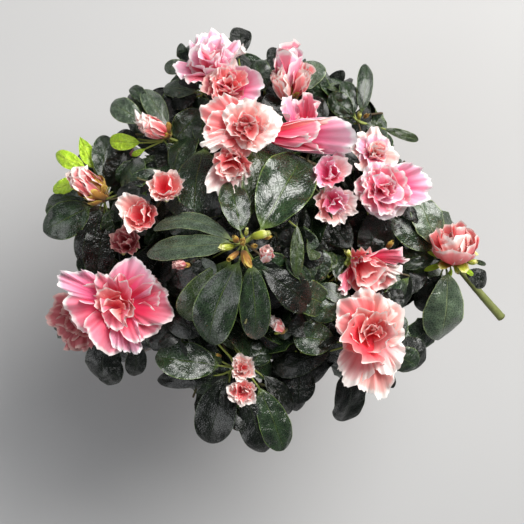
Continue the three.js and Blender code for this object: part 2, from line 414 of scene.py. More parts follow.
STEM_FOOT = 0.1063
STEM_HEIGHT = 0.037
STEM_LEAN = Vector((0.004, -0.003, 0.0))
STEM_RADII = (0.0064, 0.0052)
STEM_CAP = 0.12  # share of its height by which the stem is rounded off over its last fork
STEM_STEPS = 40
STEM_SIDES = 28
ROOT_FLARE = 0.0065
FLARE_HEIGHT = 0.007
ROOT_RIDGES = 5
BOUGH_TIP_RADIUS = 0.0017
BOUGH_BEND = 0.42
BOUGH_STEPS = 26
BOUGH_SIDES = 12
COLLAR = 0.35  # how much thicker a bough is right at its fork
COLLAR_FADE = 14


def stem_point(height):
    return STEM_LEAN * (height / STEM_HEIGHT) + Vector((0, 0, STEM_FOOT + height))


# Each bough: the height of its fork, its radius there, and where it ends inside its mass of leaves
BOUGHS = {
    "bough_crown": (0.035, 0.0036, (-0.004, -0.001, 0.236)),
    "bough_back": (0.017, 0.0034, (0.023, 0.093, 0.190)),
    "bough_back_right": (0.029, 0.0032, (0.060, 0.079, 0.186)),
    "bough_right": (0.017, 0.0036, (0.083, 0.034, 0.192)),
    "bough_side_shoot": (0.029, 0.0030, (0.117, -0.003, 0.178)),
    "bough_front_right": (0.017, 0.0036, (0.072, -0.064, 0.192)),
    "bough_front": (0.029, 0.0034, (-0.008, -0.090, 0.190)),
    "bough_front_left": (0.017, 0.0036, (-0.083, -0.043, 0.190)),
    "bough_left": (0.029, 0.0032, (-0.098, 0.024, 0.184)),
    "bough_left_back": (0.017, 0.0032, (-0.057, 0.066, 0.190)),
    "bough_back_left": (0.029, 0.0032, (-0.023, 0.101, 0.190)),
}
wood_bm = bmesh.new()


def stem_radius(height):
    if height <= STEM_HEIGHT:
        return STEM_RADII[0] + (STEM_RADII[1] - STEM_RADII[0]) * height / STEM_HEIGHT
    return STEM_RADII[1] * math.sqrt(max(0.05, 1 - ((height / STEM_HEIGHT - 1) / STEM_CAP) ** 2))


def root_relief(point, radius):
    """The stem's bark, and the ridges that run down into the roots."""
    height = point.z - STEM_FOOT
    turn = math.atan2(point.y, point.x)
    flare = ROOT_FLARE * math.exp(-max(height, 0.0) / FLARE_HEIGHT) / radius
    return bark_relief(point, radius) + flare * (1 + 0.2 * math.cos(ROOT_RIDGES * turn))


class Wood:
    """Where twigs can fork off: points along the limbs, the way that each runs on, and its radius."""

    def __init__(self):
        self.points, self.ways, self.radii = np.empty((0, 3)), np.empty((0, 3)), []

    def add(self, points, radii, kept):
        ways = [(points[i + 1] - points[i]).normalized()[:] for i in kept]
        self.points = np.vstack([self.points, [points[i][:] for i in kept]])
        self.ways = np.vstack([self.ways, ways])
        self.radii += [radii[i] for i in kept]


stem_heights = [STEM_HEIGHT * (1 + STEM_CAP) * (i / STEM_STEPS) ** 1.4 for i in range(STEM_STEPS + 1)]
stem_points = [stem_point(height) for height in stem_heights]
limb(wood_bm, stem_points, [stem_radius(height) for height in stem_heights], STEM_SIDES, root_relief)
wood = Wood()
for fork, radius, end in BOUGHS.values():
    start, end = stem_point(fork), Vector(end)
    bend = start.lerp(end, 0.5)
    bend.z = start.z + BOUGH_BEND * (end.z - start.z)
    shares = [i / BOUGH_STEPS for i in range(BOUGH_STEPS + 1)]
    points = [along_bend(start, bend, end, share) for share in shares]
    radii = [
        (radius + (BOUGH_TIP_RADIUS - radius) * share) * (1 + COLLAR * math.exp(-COLLAR_FADE * share))
        for share in shares
    ]
    limb(wood_bm, points, radii, BOUGH_SIDES, bark_relief)
    wood.add(points, radii, range(BOUGH_STEPS // 3, BOUGH_STEPS))
bmesh.ops.recalc_face_normals(wood_bm, faces=wood_bm.faces)
bark = Finish("bark")
bark_place = bark.place()
bark_crack = bark.grain(bark.stretched(bark_place, 1.0, 1.0, 0.22), 900.0, 5.0, 0.65)
bark_patch = bark.grain(bark_place, 140.0, 3.0)
bark_colour = bark.mix(bark.step(bark_crack, 0.35, 0.65), (0.045, 0.03, 0.02), (0.21, 0.15, 0.105))
bark_skin = bark.surface(
    Base_Color=bark.mix(bark.step(bark_patch, 0.5, 0.75) * 0.5, bark_colour, (0.2, 0.2, 0.16)),
    Roughness=0.8 + bark_patch * 0.15,
    Normal=bark.bump(bark_crack, 0.8, 0.0006),
)
add_piece("stem_and_boughs", wood_bm, bark_skin, ["trunk", *BOUGHS])


# Shoots and twigs
# Thin twigs fork off the boughs and off each other and run out to the skin of the crown, where every
# shoot ends in a whorl of leaves, a flower or a bud. Young twigs are brown, hairy and a little green.
UP = Vector((0.0, 0.0, 1.0))
EYE = Vector((0.0072, -0.0102, 0.82))  # where the view from above is taken
FOCAL = 1033.0  # the view's focal length, in pixels of its 524
VIEW_SIDE = 524
SIDE_HEIGHT = 0.186  # of what the view from above shows beside the crown
MASSES = sorted(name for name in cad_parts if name.startswith("foliage_"))


def crown_skin():
    """The outside of the masses of foliage, for finding heights and for keeping leaves inside."""
    bm = bmesh.new()
    for name in MASSES:
        bm.from_mesh(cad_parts[name].data)
    bmesh.ops.remove_doubles(bm, verts=bm.verts, dist=1e-6)
    bmesh.ops.recalc_face_normals(bm, faces=bm.faces)
    tree = BVHTree.FromBMesh(bm)
    corners = np.array([[v.co[:] for v in f.verts] for f in bm.faces])
    bm.free()
    return tree, corners


crown, crown_faces = crown_skin()


def sight(column, row):
    """The direction in which the view from above looks at a pixel."""
    half = VIEW_SIDE / 2
    return Vector(((column - half) / FOCAL, (half - row) / FOCAL, -1.0)).normalized()


def at_height(column, row, height):
    """The point at a pixel of the view from above and at a height."""
    line = sight(column, row)
    return EYE + line * ((height - EYE.z) / line.z)


def seen(column, row, sunk, height=SIDE_HEIGHT):
    """The point on the crown at a pixel of the view from above, or at a height beside the crown."""
    line = sight(column, row)
    hit = crown.ray_cast(EYE, line)[0]
    if hit is None:
        hit = at_height(column, row, height)
    return hit + line * sunk


def pixel_size(point):
    """The length that a pixel of the view from above covers at a point."""
    return (EYE.z - point.z) / FOCAL


def pixel_of(point):
    """The pixel of the view from above at which a point is seen."""
    side = pixel_size(point)
    return VIEW_SIDE / 2 + (point.x - EYE.x) / side, VIEW_SIDE / 2 - (point.y - EYE.y) / side


def outside(point):
    """How far a point is out of the masses of foliage; less than 0 inside."""
    near, normal, _, distance = crown.find_nearest(point)
    return distance if (point - near).dot(normal) > 0 else -distance


def covered(point, cover):
    """Whether that much of the crown lies over a point, as seen from above."""
    line = point - EYE
    hit = crown.ray_cast(EYE, line.normalized())
    return hit[0] is not None and hit[3] < line.length - cover


def leaning(bearing, tilt):
    """A direction that tilts from straight up towards a bearing, both in degrees; 0 is right, 90 back."""
    bearing, tilt = math.radians(bearing), math.radians(tilt)
    return Vector((math.sin(tilt) * math.cos(bearing), math.sin(tilt) * math.sin(bearing), math.cos(tilt)))


# The leafy shoots that the view from above shows. Each one: pixel and depth in millimetres of its tip,
# then for each leaf the pixels of its foot and tip, its width in pixels, how deep its tip lies in
# millimetres, its tone and, where it has them, its sideways bend as a share of its length and how much
# more pointed it is than the others
SEEN_SHOOTS = {
    "middle of the crown": ((243, 243), 7, [
        (234, 241, 150, 225, 19, 3, "light", 0.12), (236, 244, 142, 251, 27, 1, "light"),
        (241, 234, 229, 180, 31, 2, "green"), (260, 232, 304, 154, 56, 1, "green"),
        (246, 222, 287, 141, 56, 13, "olive"), (297, 222, 297, 276, 14, 6, "olive"),
        (240, 260, 207, 347, 44, 4, "green", 0.05), (233, 257, 181, 321, 38, 9, "olive"),
        (215, 256, 170, 284, 30, 16, "deep"), (251, 262, 257, 343, 31, 7, "green"),
        (260, 268, 312, 307, 36, 10, "deep"),
    ]),
    "upper left": ((169, 138), 8, [
        (143, 143, 108, 141, 17, 4, "young"), (146, 124, 110, 102, 24, 5, "light"),
        (168, 130, 144, 87, 22, 4, "light"), (172, 130, 156, 88, 28, 8, "deep"),
        (150, 108, 131, 85, 14, 9, "green"), (150, 116, 128, 93, 14, 11, "olive"),
        (173, 142, 201, 111, 30, 7, "green"), (163, 141, 197, 169, 19, 5, "green"),
        (206, 166, 178, 181, 16, 10, "deep"), (140, 140, 115, 134, 14, 9, "deep"),
        (147, 148, 131, 156, 6, 5, "young"), (167, 155, 141, 164, 10, 9, "olive"),
        (178, 143, 200, 162, 24, 11, "deep"),
    ]),
    "left": ((104, 200), 9, [
        (88, 170, 54, 153, 17, 4, "young"), (95, 171, 79, 135, 15, 5, "young", 0.0, 0.6),
        (82, 178, 51, 192, 15, 4, "young"), (94, 196, 45, 201, 16, 7, "green"),
        (92, 206, 41, 232, 37, 4, "green"), (100, 207, 88, 268, 38, 9, "deep"),
        (106, 207, 118, 240, 27, 7, "green"), (100, 180, 108, 134, 27, 7, "green"),
        (108, 190, 125, 151, 27, 9, "deep"), (110, 193, 156, 167, 28, 10, "deep"),
        (114, 196, 148, 184, 16, 12, "deep"), (104, 214, 96, 276, 34, 14, "deep"),
    ]),
    "top left": ((203, 92), 14, [
        (192, 64, 163, 69, 15, 5, "light"), (199, 92, 162, 87, 18, 7, "light"),
        (202, 90, 178, 80, 8, 5, "deep"), (199, 97, 171, 103, 20, 9, "deep"),
    ]),
    "top": ((250, 80), 14, [
        (238, 62, 241, 26, 22, 5, "deep"), (266, 94, 255, 58, 24, 7, "green"),
        (264, 86, 250, 71, 14, 5, "green"), (279, 82, 272, 45, 17, 9, "deep"),
        (275, 110, 262, 82, 22, 12, "deep"),
    ]),
    "top buds": ((292, 101), 12, [
        (300, 92, 319, 60, 28, 6, "light"), (285, 105, 270, 84, 18, 14, "deep"),
        (329, 123, 306, 97, 22, 8, "deep"),
    ]),
    "back right": ((358, 121), 8, [
        (361, 115, 367, 62, 17, 3, "green"), (355, 117, 344, 80, 18, 5, "green"),
        (355, 119, 330, 94, 22, 4, "green"), (356, 124, 331, 122, 10, 7, "green"),
        (364, 124, 383, 127, 9, 5, "olive"), (381, 128, 420, 140, 10, 4, "olive"),
    ]),
    "between the right flowers": ((366, 180), 14, [
        (363, 171, 327, 146, 19, 8, "deep"), (360, 190, 344, 170, 22, 13, "deep"),
        (368, 214, 372, 253, 30, 15, "deep"), (384, 212, 392, 248, 28, 16, "deep"),
    ]),
    "side shoot": ((443, 260), 8, [
        (438, 248, 416, 198, 35, 4, "light"), (434, 250, 389, 212, 33, 3, "green"),
        (425, 226, 396, 203, 14, 8, "deep"), (438, 255, 402, 253, 12, 9, "olive"),
        (438, 257, 403, 267, 12, 6, "green"), (430, 268, 398, 291, 24, 9, "deep"),
        (447, 270, 441, 343, 45, 2, "light"), (442, 273, 421, 313, 30, 8, "deep"),
        (463, 271, 488, 283, 20, 6, "deep"), (468, 259, 487, 265, 5, 4, "olive"),
        (446, 258, 428, 252, 5, 3, "young"), (446, 264, 424, 270, 6, 3, "young"),
        (462, 266, 474, 276, 5, 3, "young"), (452, 268, 448, 280, 5, 3, "young"),
    ]),
    "right middle": ((346, 262), 10, [
        (354, 250, 321, 214, 30, 5, "deep"), (346, 250, 298, 220, 28, 8, "deep"),
        (341, 291, 313, 318, 33, 3, "green"), (317, 287, 319, 249, 27, 6, "green"),
        (325, 276, 332, 251, 16, 2, "olive"), (335, 281, 339, 254, 12, 7, "green"),
        (305, 312, 313, 323, 6, 6, "olive"),
    ]),
    "front right": ((358, 345), 16, [
        (338, 342, 294, 335, 34, 3, "green"), (333, 350, 273, 370, 29, 7, "deep"),
        (384, 310, 402, 290, 21, 6, "deep"), (390, 346, 428, 360, 36, 7, "deep"),
        (392, 352, 419, 367, 28, 4, "green"), (388, 370, 393, 388, 10, 9, "deep"),
        (352, 362, 345, 424, 37, 6, "deep"),
    ]),
    "front, right of the buds": ((302, 352), 18, [
        (300, 362, 298, 404, 33, 8, "deep"), (297, 366, 298, 413, 20, 12, "deep"),
        (296, 352, 262, 318, 36, 16, "deep"), (306, 348, 288, 306, 34, 19, "deep"),
        (312, 352, 330, 322, 34, 18, "deep"), (300, 358, 322, 380, 30, 20, "deep"),
        (290, 352, 250, 338, 30, 20, "deep"),
    ]),
    "front": ((235, 368), 8, [
        (222, 366, 156, 357, 38, 2, "green"), (217, 376, 155, 380, 21, 6, "deep"),
        (224, 363, 208, 353, 8, 3, "olive"), (239, 350, 236, 316, 22, 6, "green"),
        (238, 350, 222, 339, 7, 3, "olive"), (250, 367, 267, 341, 28, 5, "green"),
        (258, 385, 286, 452, 33, 3, "green"), (247, 394, 265, 455, 36, 6, "deep"),
        (228, 374, 207, 445, 41, 5, "deep"), (229, 380, 226, 409, 16, 3, "deep"),
        (262, 374, 293, 413, 22, 7, "deep"), (206, 335, 166, 318, 26, 8, "deep"),
    ]),
    "front left": ((122, 316), 20, [
        (105, 332, 101, 382, 36, 6, "deep"), (113, 352, 107, 387, 28, 9, "deep"),
        (138, 340, 134, 378, 22, 7, "deep"), (82, 300, 54, 330, 24, 10, "deep"),
        (172, 318, 152, 351, 22, 9, "deep"),
    ]),
}
# The flowers and buds of the same view, each with: pixel and depth in millimetres of its foot, the
# bearing and tilt of its axis, and its radius (a bud's length) in pixels
SEEN_FLOWERS = {
    "top left": ((213, 76), 8, 104, 40, 42),
    "top, behind": ((228, 90), 12, 60, 14, 34),
    "top middle": ((245, 131), 4, 60, 8, 40),
    "top middle, lower": ((232, 160), 5, -100, 26, 30),
    "top right, on its side": ((256, 135), 10, -2, 80, 98),
    "top right, upright": ((302, 137), 4, 94, 56, 31),
    "right of the middle": ((330, 174), 2, 80, 10, 28),
    "right of the middle, lower": ((332, 201), 3, -60, 14, 30),
    "back right, small": ((373, 156), 7, 85, 20, 26),
    "back right, large": ((380, 187), 4, -20, 8, 37),
    "right, nodding": ((356, 259), 4, -50, 36, 44),
    "front right": ((371, 334), 4, 70, 6, 44),
    "front left": ((121, 304), 4, 150, 4, 54),
    "front left, behind": ((85, 315), 14, 215, 22, 35),
    "left middle, upper": ((166, 191), 3, 70, 14, 31),
    "left middle, lower": ((144, 216), 4, 150, 12, 30),
    "left middle, dark": ((128, 245), 3, 120, 20, 22),
    "side shoot": ((454, 259), 4, 94, 50, 46),
    "front": ((242, 389), 3, -60, 10, 19),
    "front, upper": ((242, 370), 3, 80, 22, 18),
}
SEEN_BUDS = {
    "top right, large": ((291, 94), 8, 97, 58, 49),
    "top right, left": ((288, 100), 3, 116, 50, 33),
    "top right, small": ((294, 97), 5, 68, 56, 33),
    "upper left": ((168, 136), 5, 152, 56, 34),
    "left": ((107, 199), 5, 141, 60, 44),
    "middle": ((266, 261), 1, 88, 30, 24),
    "front middle": ((283, 332), 4, 128, 48, 22),
    "left of the middle": ((188, 265), 9, 178, 58, 16),
}


class Place:
    """Where a flower or bud sits: its foot, its axis, and its radius or length."""

    def __init__(self, foot, axis, size):
        self.foot, self.axis, self.size = foot, axis, size


def seen_place(pixel, depth, bearing, tilt, size):
    foot = seen(*pixel, depth / 1000)
    return Place(foot, leaning(bearing, tilt), size * pixel_size(foot))


flower_places = {name: seen_place(*row) for name, row in SEEN_FLOWERS.items()}
bud_places = {name: seen_place(*row) for name, row in SEEN_BUDS.items()}
shoot_tips = {name: seen(*row[0], row[1] / 1000) for name, row in SEEN_SHOOTS.items()}

tips = [(tip, UP) for tip in shoot_tips.values()]
tips += [(place.foot, place.axis) for place in (*flower_places.values(), *bud_places.values())]
shown_tips = len(tips)

TRIED = 9000  # places on the crown's outside where a shoot may end
SPACING = 0.0185  # between the tips of neighbouring shoots
SUNK_ABOVE = 0.019  # how deep the unseen shoots end under the leaves that show from above
SUNK_BESIDE = 0.011  # and how deep round the sides
TOP_FACING, TOP_HEIGHT = 0.35, 0.17  # what faces up as much as this and lies as high shows from above
LOWEST_FACING = -0.8  # no shoot ends on what faces straight down
WALL_REACH = 0.02  # no shoot ends where another mass is as near as this in front of it
JUST_OUT = 0.0002  # where the look for that mass starts
LIFT = 0.35  # how much the shoots turn up to the light
grow_draws = np.random.default_rng(8)


def scattered(count):
    """Points scattered over the crown's outside, and the way that it faces there."""
    edges = crown_faces[:, 1:] - crown_faces[:, :1]
    crossed = np.cross(edges[:, 0], edges[:, 1])
    areas = np.linalg.norm(crossed, axis=1) / 2
    chosen = grow_draws.choice(len(areas), size=count, p=areas / areas.sum())
    shares = grow_draws.random((count, 2))
    folded = shares.sum(axis=1) > 1
    shares[folded] = 1 - shares[folded]
    points = crown_faces[chosen, 0] + (edges[chosen] * shares[:, :, None]).sum(axis=1)
    normals = crossed[chosen] / (2 * areas[chosen, None])
    return [(Vector(p), Vector(n)) for p, n in zip(points, normals)]


for point, facing in scattered(TRIED):
    walled_in = crown.ray_cast(point + facing * JUST_OUT, facing, WALL_REACH)[0] is not None
    if walled_in or facing.z < LOWEST_FACING:
        continue
    seen_from_above = facing.z > TOP_FACING and point.z > TOP_HEIGHT
    tip = point - facing * (SUNK_ABOVE if seen_from_above else SUNK_BESIDE)
    if all((tip - other).length > SPACING for other, _ in tips):
        tips.append((tip, (facing + UP * LIFT).normalized()))


class Lines:
    """Rods that are drawn as lines of points with a radius at each, and made into one mesh."""

    UNIT = 0.001  # radius of the rod at a point whose own radius is 1

    def __init__(self, name):
        self.curve = bpy.data.curves.new(name, "CURVE")
        self.curve.dimensions = "3D"
        self.curve.bevel_depth = self.UNIT
        self.curve.bevel_resolution = 1
        self.curve.use_fill_caps = True

    def add(self, points, radii):
        spline = self.curve.splines.new("POLY")
        spline.points.add(len(points) - 1)
        for made, point, radius in zip(spline.points, points, radii):
            made.co = (*point, 1.0)
            made.radius = radius / self.UNIT

    def mesh(self):
        shape = put_in(self.curve.name, self.curve)
        bpy.context.view_layer.update()
        mesh = bpy.data.meshes.new_from_object(shape.evaluated_get(bpy.context.evaluated_depsgraph_get()))
        bpy.data.objects.remove(shape)
        return mesh


TWIG_STEPS = 9
FORWARD = 0.8  # how much a fork that runs on along its limb is liked over one that turns back
RUN_ON = 0.6  # how much a twig first follows its limb
LEAVE_PULL, ARRIVE_PULL = 0.4, 0.35  # how far that, and its shoot's own way, bend it, for its length
WOBBLE = 0.06
THINNEST_FORK = 0.8  # a twig's radius where it forks, as a share of its limb's
MASS_TWIG_RADII = (0.0019, 0.0012)  # at the foot and tip of a twig into the middle of a mass
SHOOT_RADII = (0.0012, 0.0007)  # and of one to a shoot's tip
twigs = Lines("twigs")


def grow_twig(tip, ahead, foot_radius, tip_radius):
    """Draws a twig to a tip from the wood that lies best for it, and adds it to the wood."""
    gap = np.array(tip) - wood.points
    distance = np.linalg.norm(gap, axis=1) + 1e-6
    turned_away = 1 - (gap * wood.ways).sum(axis=1) / distance
    best = int(np.argmin(distance * (1 + FORWARD * turned_away)))
    start = Vector(wood.points[best])
    radius = min(foot_radius, THINNEST_FORK * wood.radii[best])
    reach = (tip - start).length
    leave = (Vector(wood.ways[best]) * RUN_ON + (tip - start).normalized()).normalized() * reach * LEAVE_PULL
    arrive = ahead * reach * ARRIVE_PULL
    wobble = Vector(grow_draws.uniform(-WOBBLE, WOBBLE, 3)) * reach
    points, radii = [], []
    for index in range(TWIG_STEPS + 1):
        share = index / TWIG_STEPS
        straight = start.lerp(tip, share * share * (3 - 2 * share))
        point = straight + leave * (share * (1 - share) ** 2) - arrive * (share * share * (1 - share))
        points.append(point + wobble * math.sin(math.pi * share) ** 2)
        radii.append(radius + (min(tip_radius, radius) - radius) * share)
    twigs.add(points, radii)
    wood.add(points, radii, range(2, TWIG_STEPS - 1))


stem_top = stem_point(STEM_HEIGHT)
mass_middles = [(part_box(name)[0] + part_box(name)[1]) / 2 for name in MASSES]
for middle in sorted(mass_middles, key=lambda point: (point - stem_top).length):
    grow_twig(middle, (middle - stem_top).normalized(), *MASS_TWIG_RADII)
for tip, ahead in sorted(tips, key=lambda row: (row[0] - stem_top).length):
    grow_twig(tip, ahead, *SHOOT_RADII)

young_bark = Finish("young_bark")
young_place = young_bark.place()
young_cloud = young_bark.grain(young_place, 90.0)
young_hair = young_bark.grain(young_place, 1400.0, 2.0)
young_green = young_bark.step(young_cloud, 0.35, 0.7)
young_skin = young_bark.surface(
    Base_Color=young_bark.mix(young_green, (0.085, 0.055, 0.03), (0.11, 0.12, 0.04)),
    Roughness=0.7 + young_hair * 0.2,
    Normal=young_bark.bump(young_hair, 0.5, 0.0003),
)
add_piece("twigs", twigs.mesh(), young_skin, MASSES)


# Leaves
# Thick, glossy, dark green leaves on short yellow-green stalks, in whorls at the shoots' tips. A pale
# midrib, side veins and a fine net mark each one, and the youngest are bright green. Leaves that lie in
# shade are painted near black as painted shade, and those that catch the lamps a paler grey-green as
# painted sheen; the net's pale lines are partly the real veins and partly painted glints, and the thin
# pale line along each edge is a painted highlight.
LEAF_TONES = {
    # dark and light colour of the blade, its veins, and how much it shines
    # the shaded tone: the leaf's green darkened to near black, painted shade for leaves that lie in shade
    "deep": ((0.0015, 0.0026, 0.0015), (0.007, 0.012, 0.006), (0.030, 0.048, 0.018), 0.55),
    "green": ((0.004, 0.010, 0.005), (0.038, 0.078, 0.028), (0.15, 0.23, 0.05), 0.95),
    "olive": ((0.014, 0.030, 0.009), (0.070, 0.11, 0.028), (0.20, 0.27, 0.05), 0.85),
    # the light tone: a paler grey-green that is painted sheen, for leaves that face the lamps and catch their
    # light
    "light": ((0.030, 0.050, 0.030), (0.15, 0.21, 0.125), (0.34, 0.42, 0.18), 1.00),
    "young": ((0.44, 0.74, 0.030), (0.72, 0.95, 0.080), (0.70, 0.86, 0.14), 0.30),
}


def sheet_pattern(across, along):
    """A flat sheet of faces, from -1 to 1 across and 0 to 1 along."""
    bm = bmesh.new()
    bmesh.ops.create_grid(bm, x_segments=across, y_segments=along, size=1.0)
    moved = Matrix.Translation((0, 0.5, 0)) @ Matrix.Diagonal((1, 0.5, 1, 1))
    bmesh.ops.transform(bm, matrix=moved, verts=bm.verts)
    return Pattern(bm, lambda flat: np.stack([(flat[:, 0] + 1) / 2, flat[:, 1]], axis=1))


def leaf_sheet(across, along):
    """A leaf's sheet, its rows of faces closer together towards foot and tip."""
    sheet = sheet_pattern(across, along)
    sheet.flat[:, 1] = 0.5 - 0.5 * np.cos(math.pi * sheet.flat[:, 1] ** 0.9)
    sheet.mapped[:, 1] = sheet.flat[:, 1]
    return sheet


fine_leaf = leaf_sheet(8, 26)
plain_leaf = leaf_sheet(4, 12)
leaves = {tone: Heap() for tone in LEAF_TONES}
leaf_draws = np.random.default_rng(5)
STALK = 0.0022  # length of a blade's own narrow foot
DROOP = 0.09  # how far a leaf's tip hangs, as a share of its length
UNEVEN = 0.14  # height of a leaf's ridges and swells as a share of its half width
SMOOTHER = 0.6  # how much of that the deep leaves, which lie in shade, keep


def leaf(sheet, foot, tip, width, face, tone, bow, roll, bend=0.0, point=0.0):
    """One leaf from its foot to its tip, its upper side towards face, bowed up and rolled a little."""
    across, along = sheet.flat[:, 0], sheet.flat[:, 1]
    chord = np.array(tip) - np.array(foot)
    length = np.linalg.norm(chord)
    ahead = chord / length
    beside = np.cross(ahead, np.array(face))
    beside /= np.linalg.norm(beside)
    over = np.cross(beside, ahead)
    turn = math.radians(roll)
    beside, over = (
        beside * math.cos(turn) + over * math.sin(turn),
        over * math.cos(turn) - beside * math.sin(turn),
    )
    # the blade's outline, widest nearer to its foot or to its tip
    stalk = min(0.10, STALK / length)
    blade = np.clip((along - stalk) / (1 - stalk), 0.0, 1.0)
    foot_power, tip_power = leaf_draws.uniform(0.58, 0.80), leaf_draws.uniform(0.50, 0.62) + point
    widest = foot_power / (foot_power + tip_power)
    swell = blade**foot_power * (1 - blade) ** tip_power
    half = np.maximum(0.04, swell / (widest**foot_power * (1 - widest) ** tip_power)) * width / 2
    twist = leaf_draws.uniform(-0.25, 0.25)
    keel, fold = leaf_draws.uniform(0.0, 0.45), leaf_draws.uniform(0.02, 0.32)
    wave = leaf_draws.uniform(0.02, 0.09)
    phase = math.tau * leaf_draws.random(4)
    from_rib = np.abs(across)
    # it is bowed along, keeled or folded at the midrib, twisted, and waved at its rim
    rise = bow * length * 4 * along * (1 - along) - DROOP * length * along**4
    rise = rise - keel * half * across**2 + fold * half * from_rib
    rise = rise + half * across * (twist * along + wave * 2 * np.sin(9 * along + phase[0]))
    # its skin bulges between the side veins and swells unevenly
    ridges = np.sin(math.tau * (4.2 * along - 1.1 * from_rib) + phase[1]) * from_rib
    swells = np.sin(math.tau * (2.3 * along + 0.7 * across) + phase[2])
    swells = swells + np.sin(math.tau * (1.7 * along - 0.9 * across) + phase[3])
    uneven = UNEVEN * leaf_draws.uniform(0.4, 1.1) * (SMOOTHER if tone == "deep" else 1.0)
    rise = rise + uneven * half * (0.5 * ridges + 0.4 * swells)
    aside = half * across + bend * length * np.sin(math.pi * along)
    points = np.outer(along * length, ahead) + np.outer(aside, beside) + np.outer(rise, over)
    leaves[tone].add(sheet, points + np.array(foot))


STEEPEST = 0.45  # drop or rise of a leaf for its length in the view from above
FOOT_SUNK = 0.003  # how much deeper than its tip a leaf's foot lies under the crown's outside
FOOT_UNDER, FOOT_OVER = 0.012, 0.016  # how far the foot may lie under or over the shoot's tip
STALK_RADII = (0.0008, 0.0007, 0.0006, 0.0005)
STALK_REACH = 0.003  # how far a stalk runs on under its blade
LEAST_SAG = 0.001  # how far a stalk sags below the straight way from shoot to leaf
SAG_FROM, SAG_SHARE = 0.012, 0.3  # longer stalks sag more, by this share of what they are longer
stalks = Lines("leaf_stalks")
for name, (_, _, borne) in SEEN_SHOOTS.items():
    hub = shoot_tips[name]
    for foot_column, foot_row, tip_column, tip_row, width, depth, tone, *shape in borne:
        foot_height = seen(foot_column, foot_row, depth / 1000 + FOOT_SUNK, hub.z).z
        foot_height = min(max(foot_height, hub.z - FOOT_UNDER), hub.z + FOOT_OVER)
        foot = at_height(foot_column, foot_row, foot_height)
        most = STEEPEST * pixel_size(foot) * math.hypot(tip_column - foot_column, tip_row - foot_row)
        tip_height = seen(tip_column, tip_row, depth / 1000, foot.z - 0.3 * most).z
        tip = at_height(tip_column, tip_row, min(max(tip_height, foot.z - most), foot.z + 0.5 * most))
        face = Vector((leaf_draws.uniform(-0.15, 0.35), leaf_draws.uniform(-0.15, 0.35), 1.0))
        broad = width * pixel_size(foot.lerp(tip, 0.5))
        leaf(fine_leaf, foot, tip, broad, face, tone, leaf_draws.uniform(0.03, 0.09), 0.0, *shape)
        ahead = (tip - foot).normalized()
        apart = (foot - hub).length
        sag = LEAST_SAG + SAG_SHARE * max(apart - SAG_FROM, 0.0)
        middle = hub.lerp(foot, 0.6) - ahead * 0.25 * apart - UP * sag
        course = [hub, hub.lerp(middle, 0.6), middle.lerp(foot, 0.5), foot + ahead * STALK_REACH]
        stalks.add(course, STALK_RADII)


class Shown:
    """Which pixels of the view from above the leaves and flowers that it shows take up, as ovals."""

    # the middle and the front right of the crown, which leaves and flowers fill without a gap
    FILLED = [((238.0, 215.0), (1.0, 0.0), 104.0, 104.0), ((288.0, 308.0), (1.0, 0.0), 92.0, 70.0)]

    def __init__(self):
        self.rows = list(self.FILLED)
        for _, _, borne in SEEN_SHOOTS.values():
            for foot_column, foot_row, tip_column, tip_row, width, *_ in borne:
                long = math.hypot(tip_column - foot_column, tip_row - foot_row)
                way = ((tip_column - foot_column) / long, (tip_row - foot_row) / long)
                # each oval is a little less than its leaf or flower, as a rim alone hides nothing
                middle = (foot_column + way[0] * 0.52 * long, foot_row + way[1] * 0.52 * long)
                self.rows.append((middle, way, 0.46 * long, 0.44 * width))
        for place in flower_places.values():
            heart = place.foot + place.axis * place.size * 0.5
            radius = 0.8 * place.size / pixel_size(heart)
            self.rows.append((pixel_of(heart), (1.0, 0.0), radius, radius))

    def hides(self, point):
        column, row = pixel_of(point)
        for (across, down), (way_x, way_y), long, wide in self.rows:
            x, y = column - across, row - down
            if ((x * way_x + y * way_y) / long) ** 2 + ((y * way_x - x * way_y) / wide) ** 2 < 1:
                return True
        return False


shown = Shown()
LONGEST_LEAF = 0.048
SHORTEST_LEAF = 0.028
CUT_SHORT = 0.6 * SHORTEST_LEAF  # a leaf that would have to be shorter than this isn't grown
LEAF_GAP = 0.002  # along the shoot from leaf to leaf
GOLDEN_TURN = math.pi * (3 - math.sqrt(5))
COVER_ABOVE = 0.009  # of crown over each leaf that the view from above doesn't show
OVERHANG = 0.003  # how far a leaf may stick out of the crown's outside
# the shaded tone is painted shade, so most leaves on the upright shoots under the top get it, fewer at the
# sides
DEALT_TONES = ("deep", "green", "olive")
UPRIGHT_DEAL = (0.72, 0.27, 0.01)  # their shares on an upright shoot
SIDE_DEAL = (0.45, 0.46, 0.09)  # and on one that leans out
# The middles and radii of the balls round the flowers and buds that no leaf's tip goes into
KEPT_CLEAR = [(p.foot + p.axis * p.size * 0.4, p.size * 0.85) for p in flower_places.values()]
KEPT_CLEAR += [(p.foot + p.axis * p.size * 0.5, p.size * 0.5) for p in bud_places.values()]


def fits(foot, tip, half):
    """Whether a leaf may lie here: in the crown, hidden from above, and clear of the flowers."""
    if outside(tip) > OVERHANG or not covered(tip, COVER_ABOVE):
        return False
    beside = (tip - foot).cross(UP).normalized() * half
    middle = foot.lerp(tip, 0.65)
    if not all(shown.hides(point) for point in (tip, middle + beside, middle - beside)):
        return False
    return all((tip - heart).length > radius for heart, radius in KEPT_CLEAR)


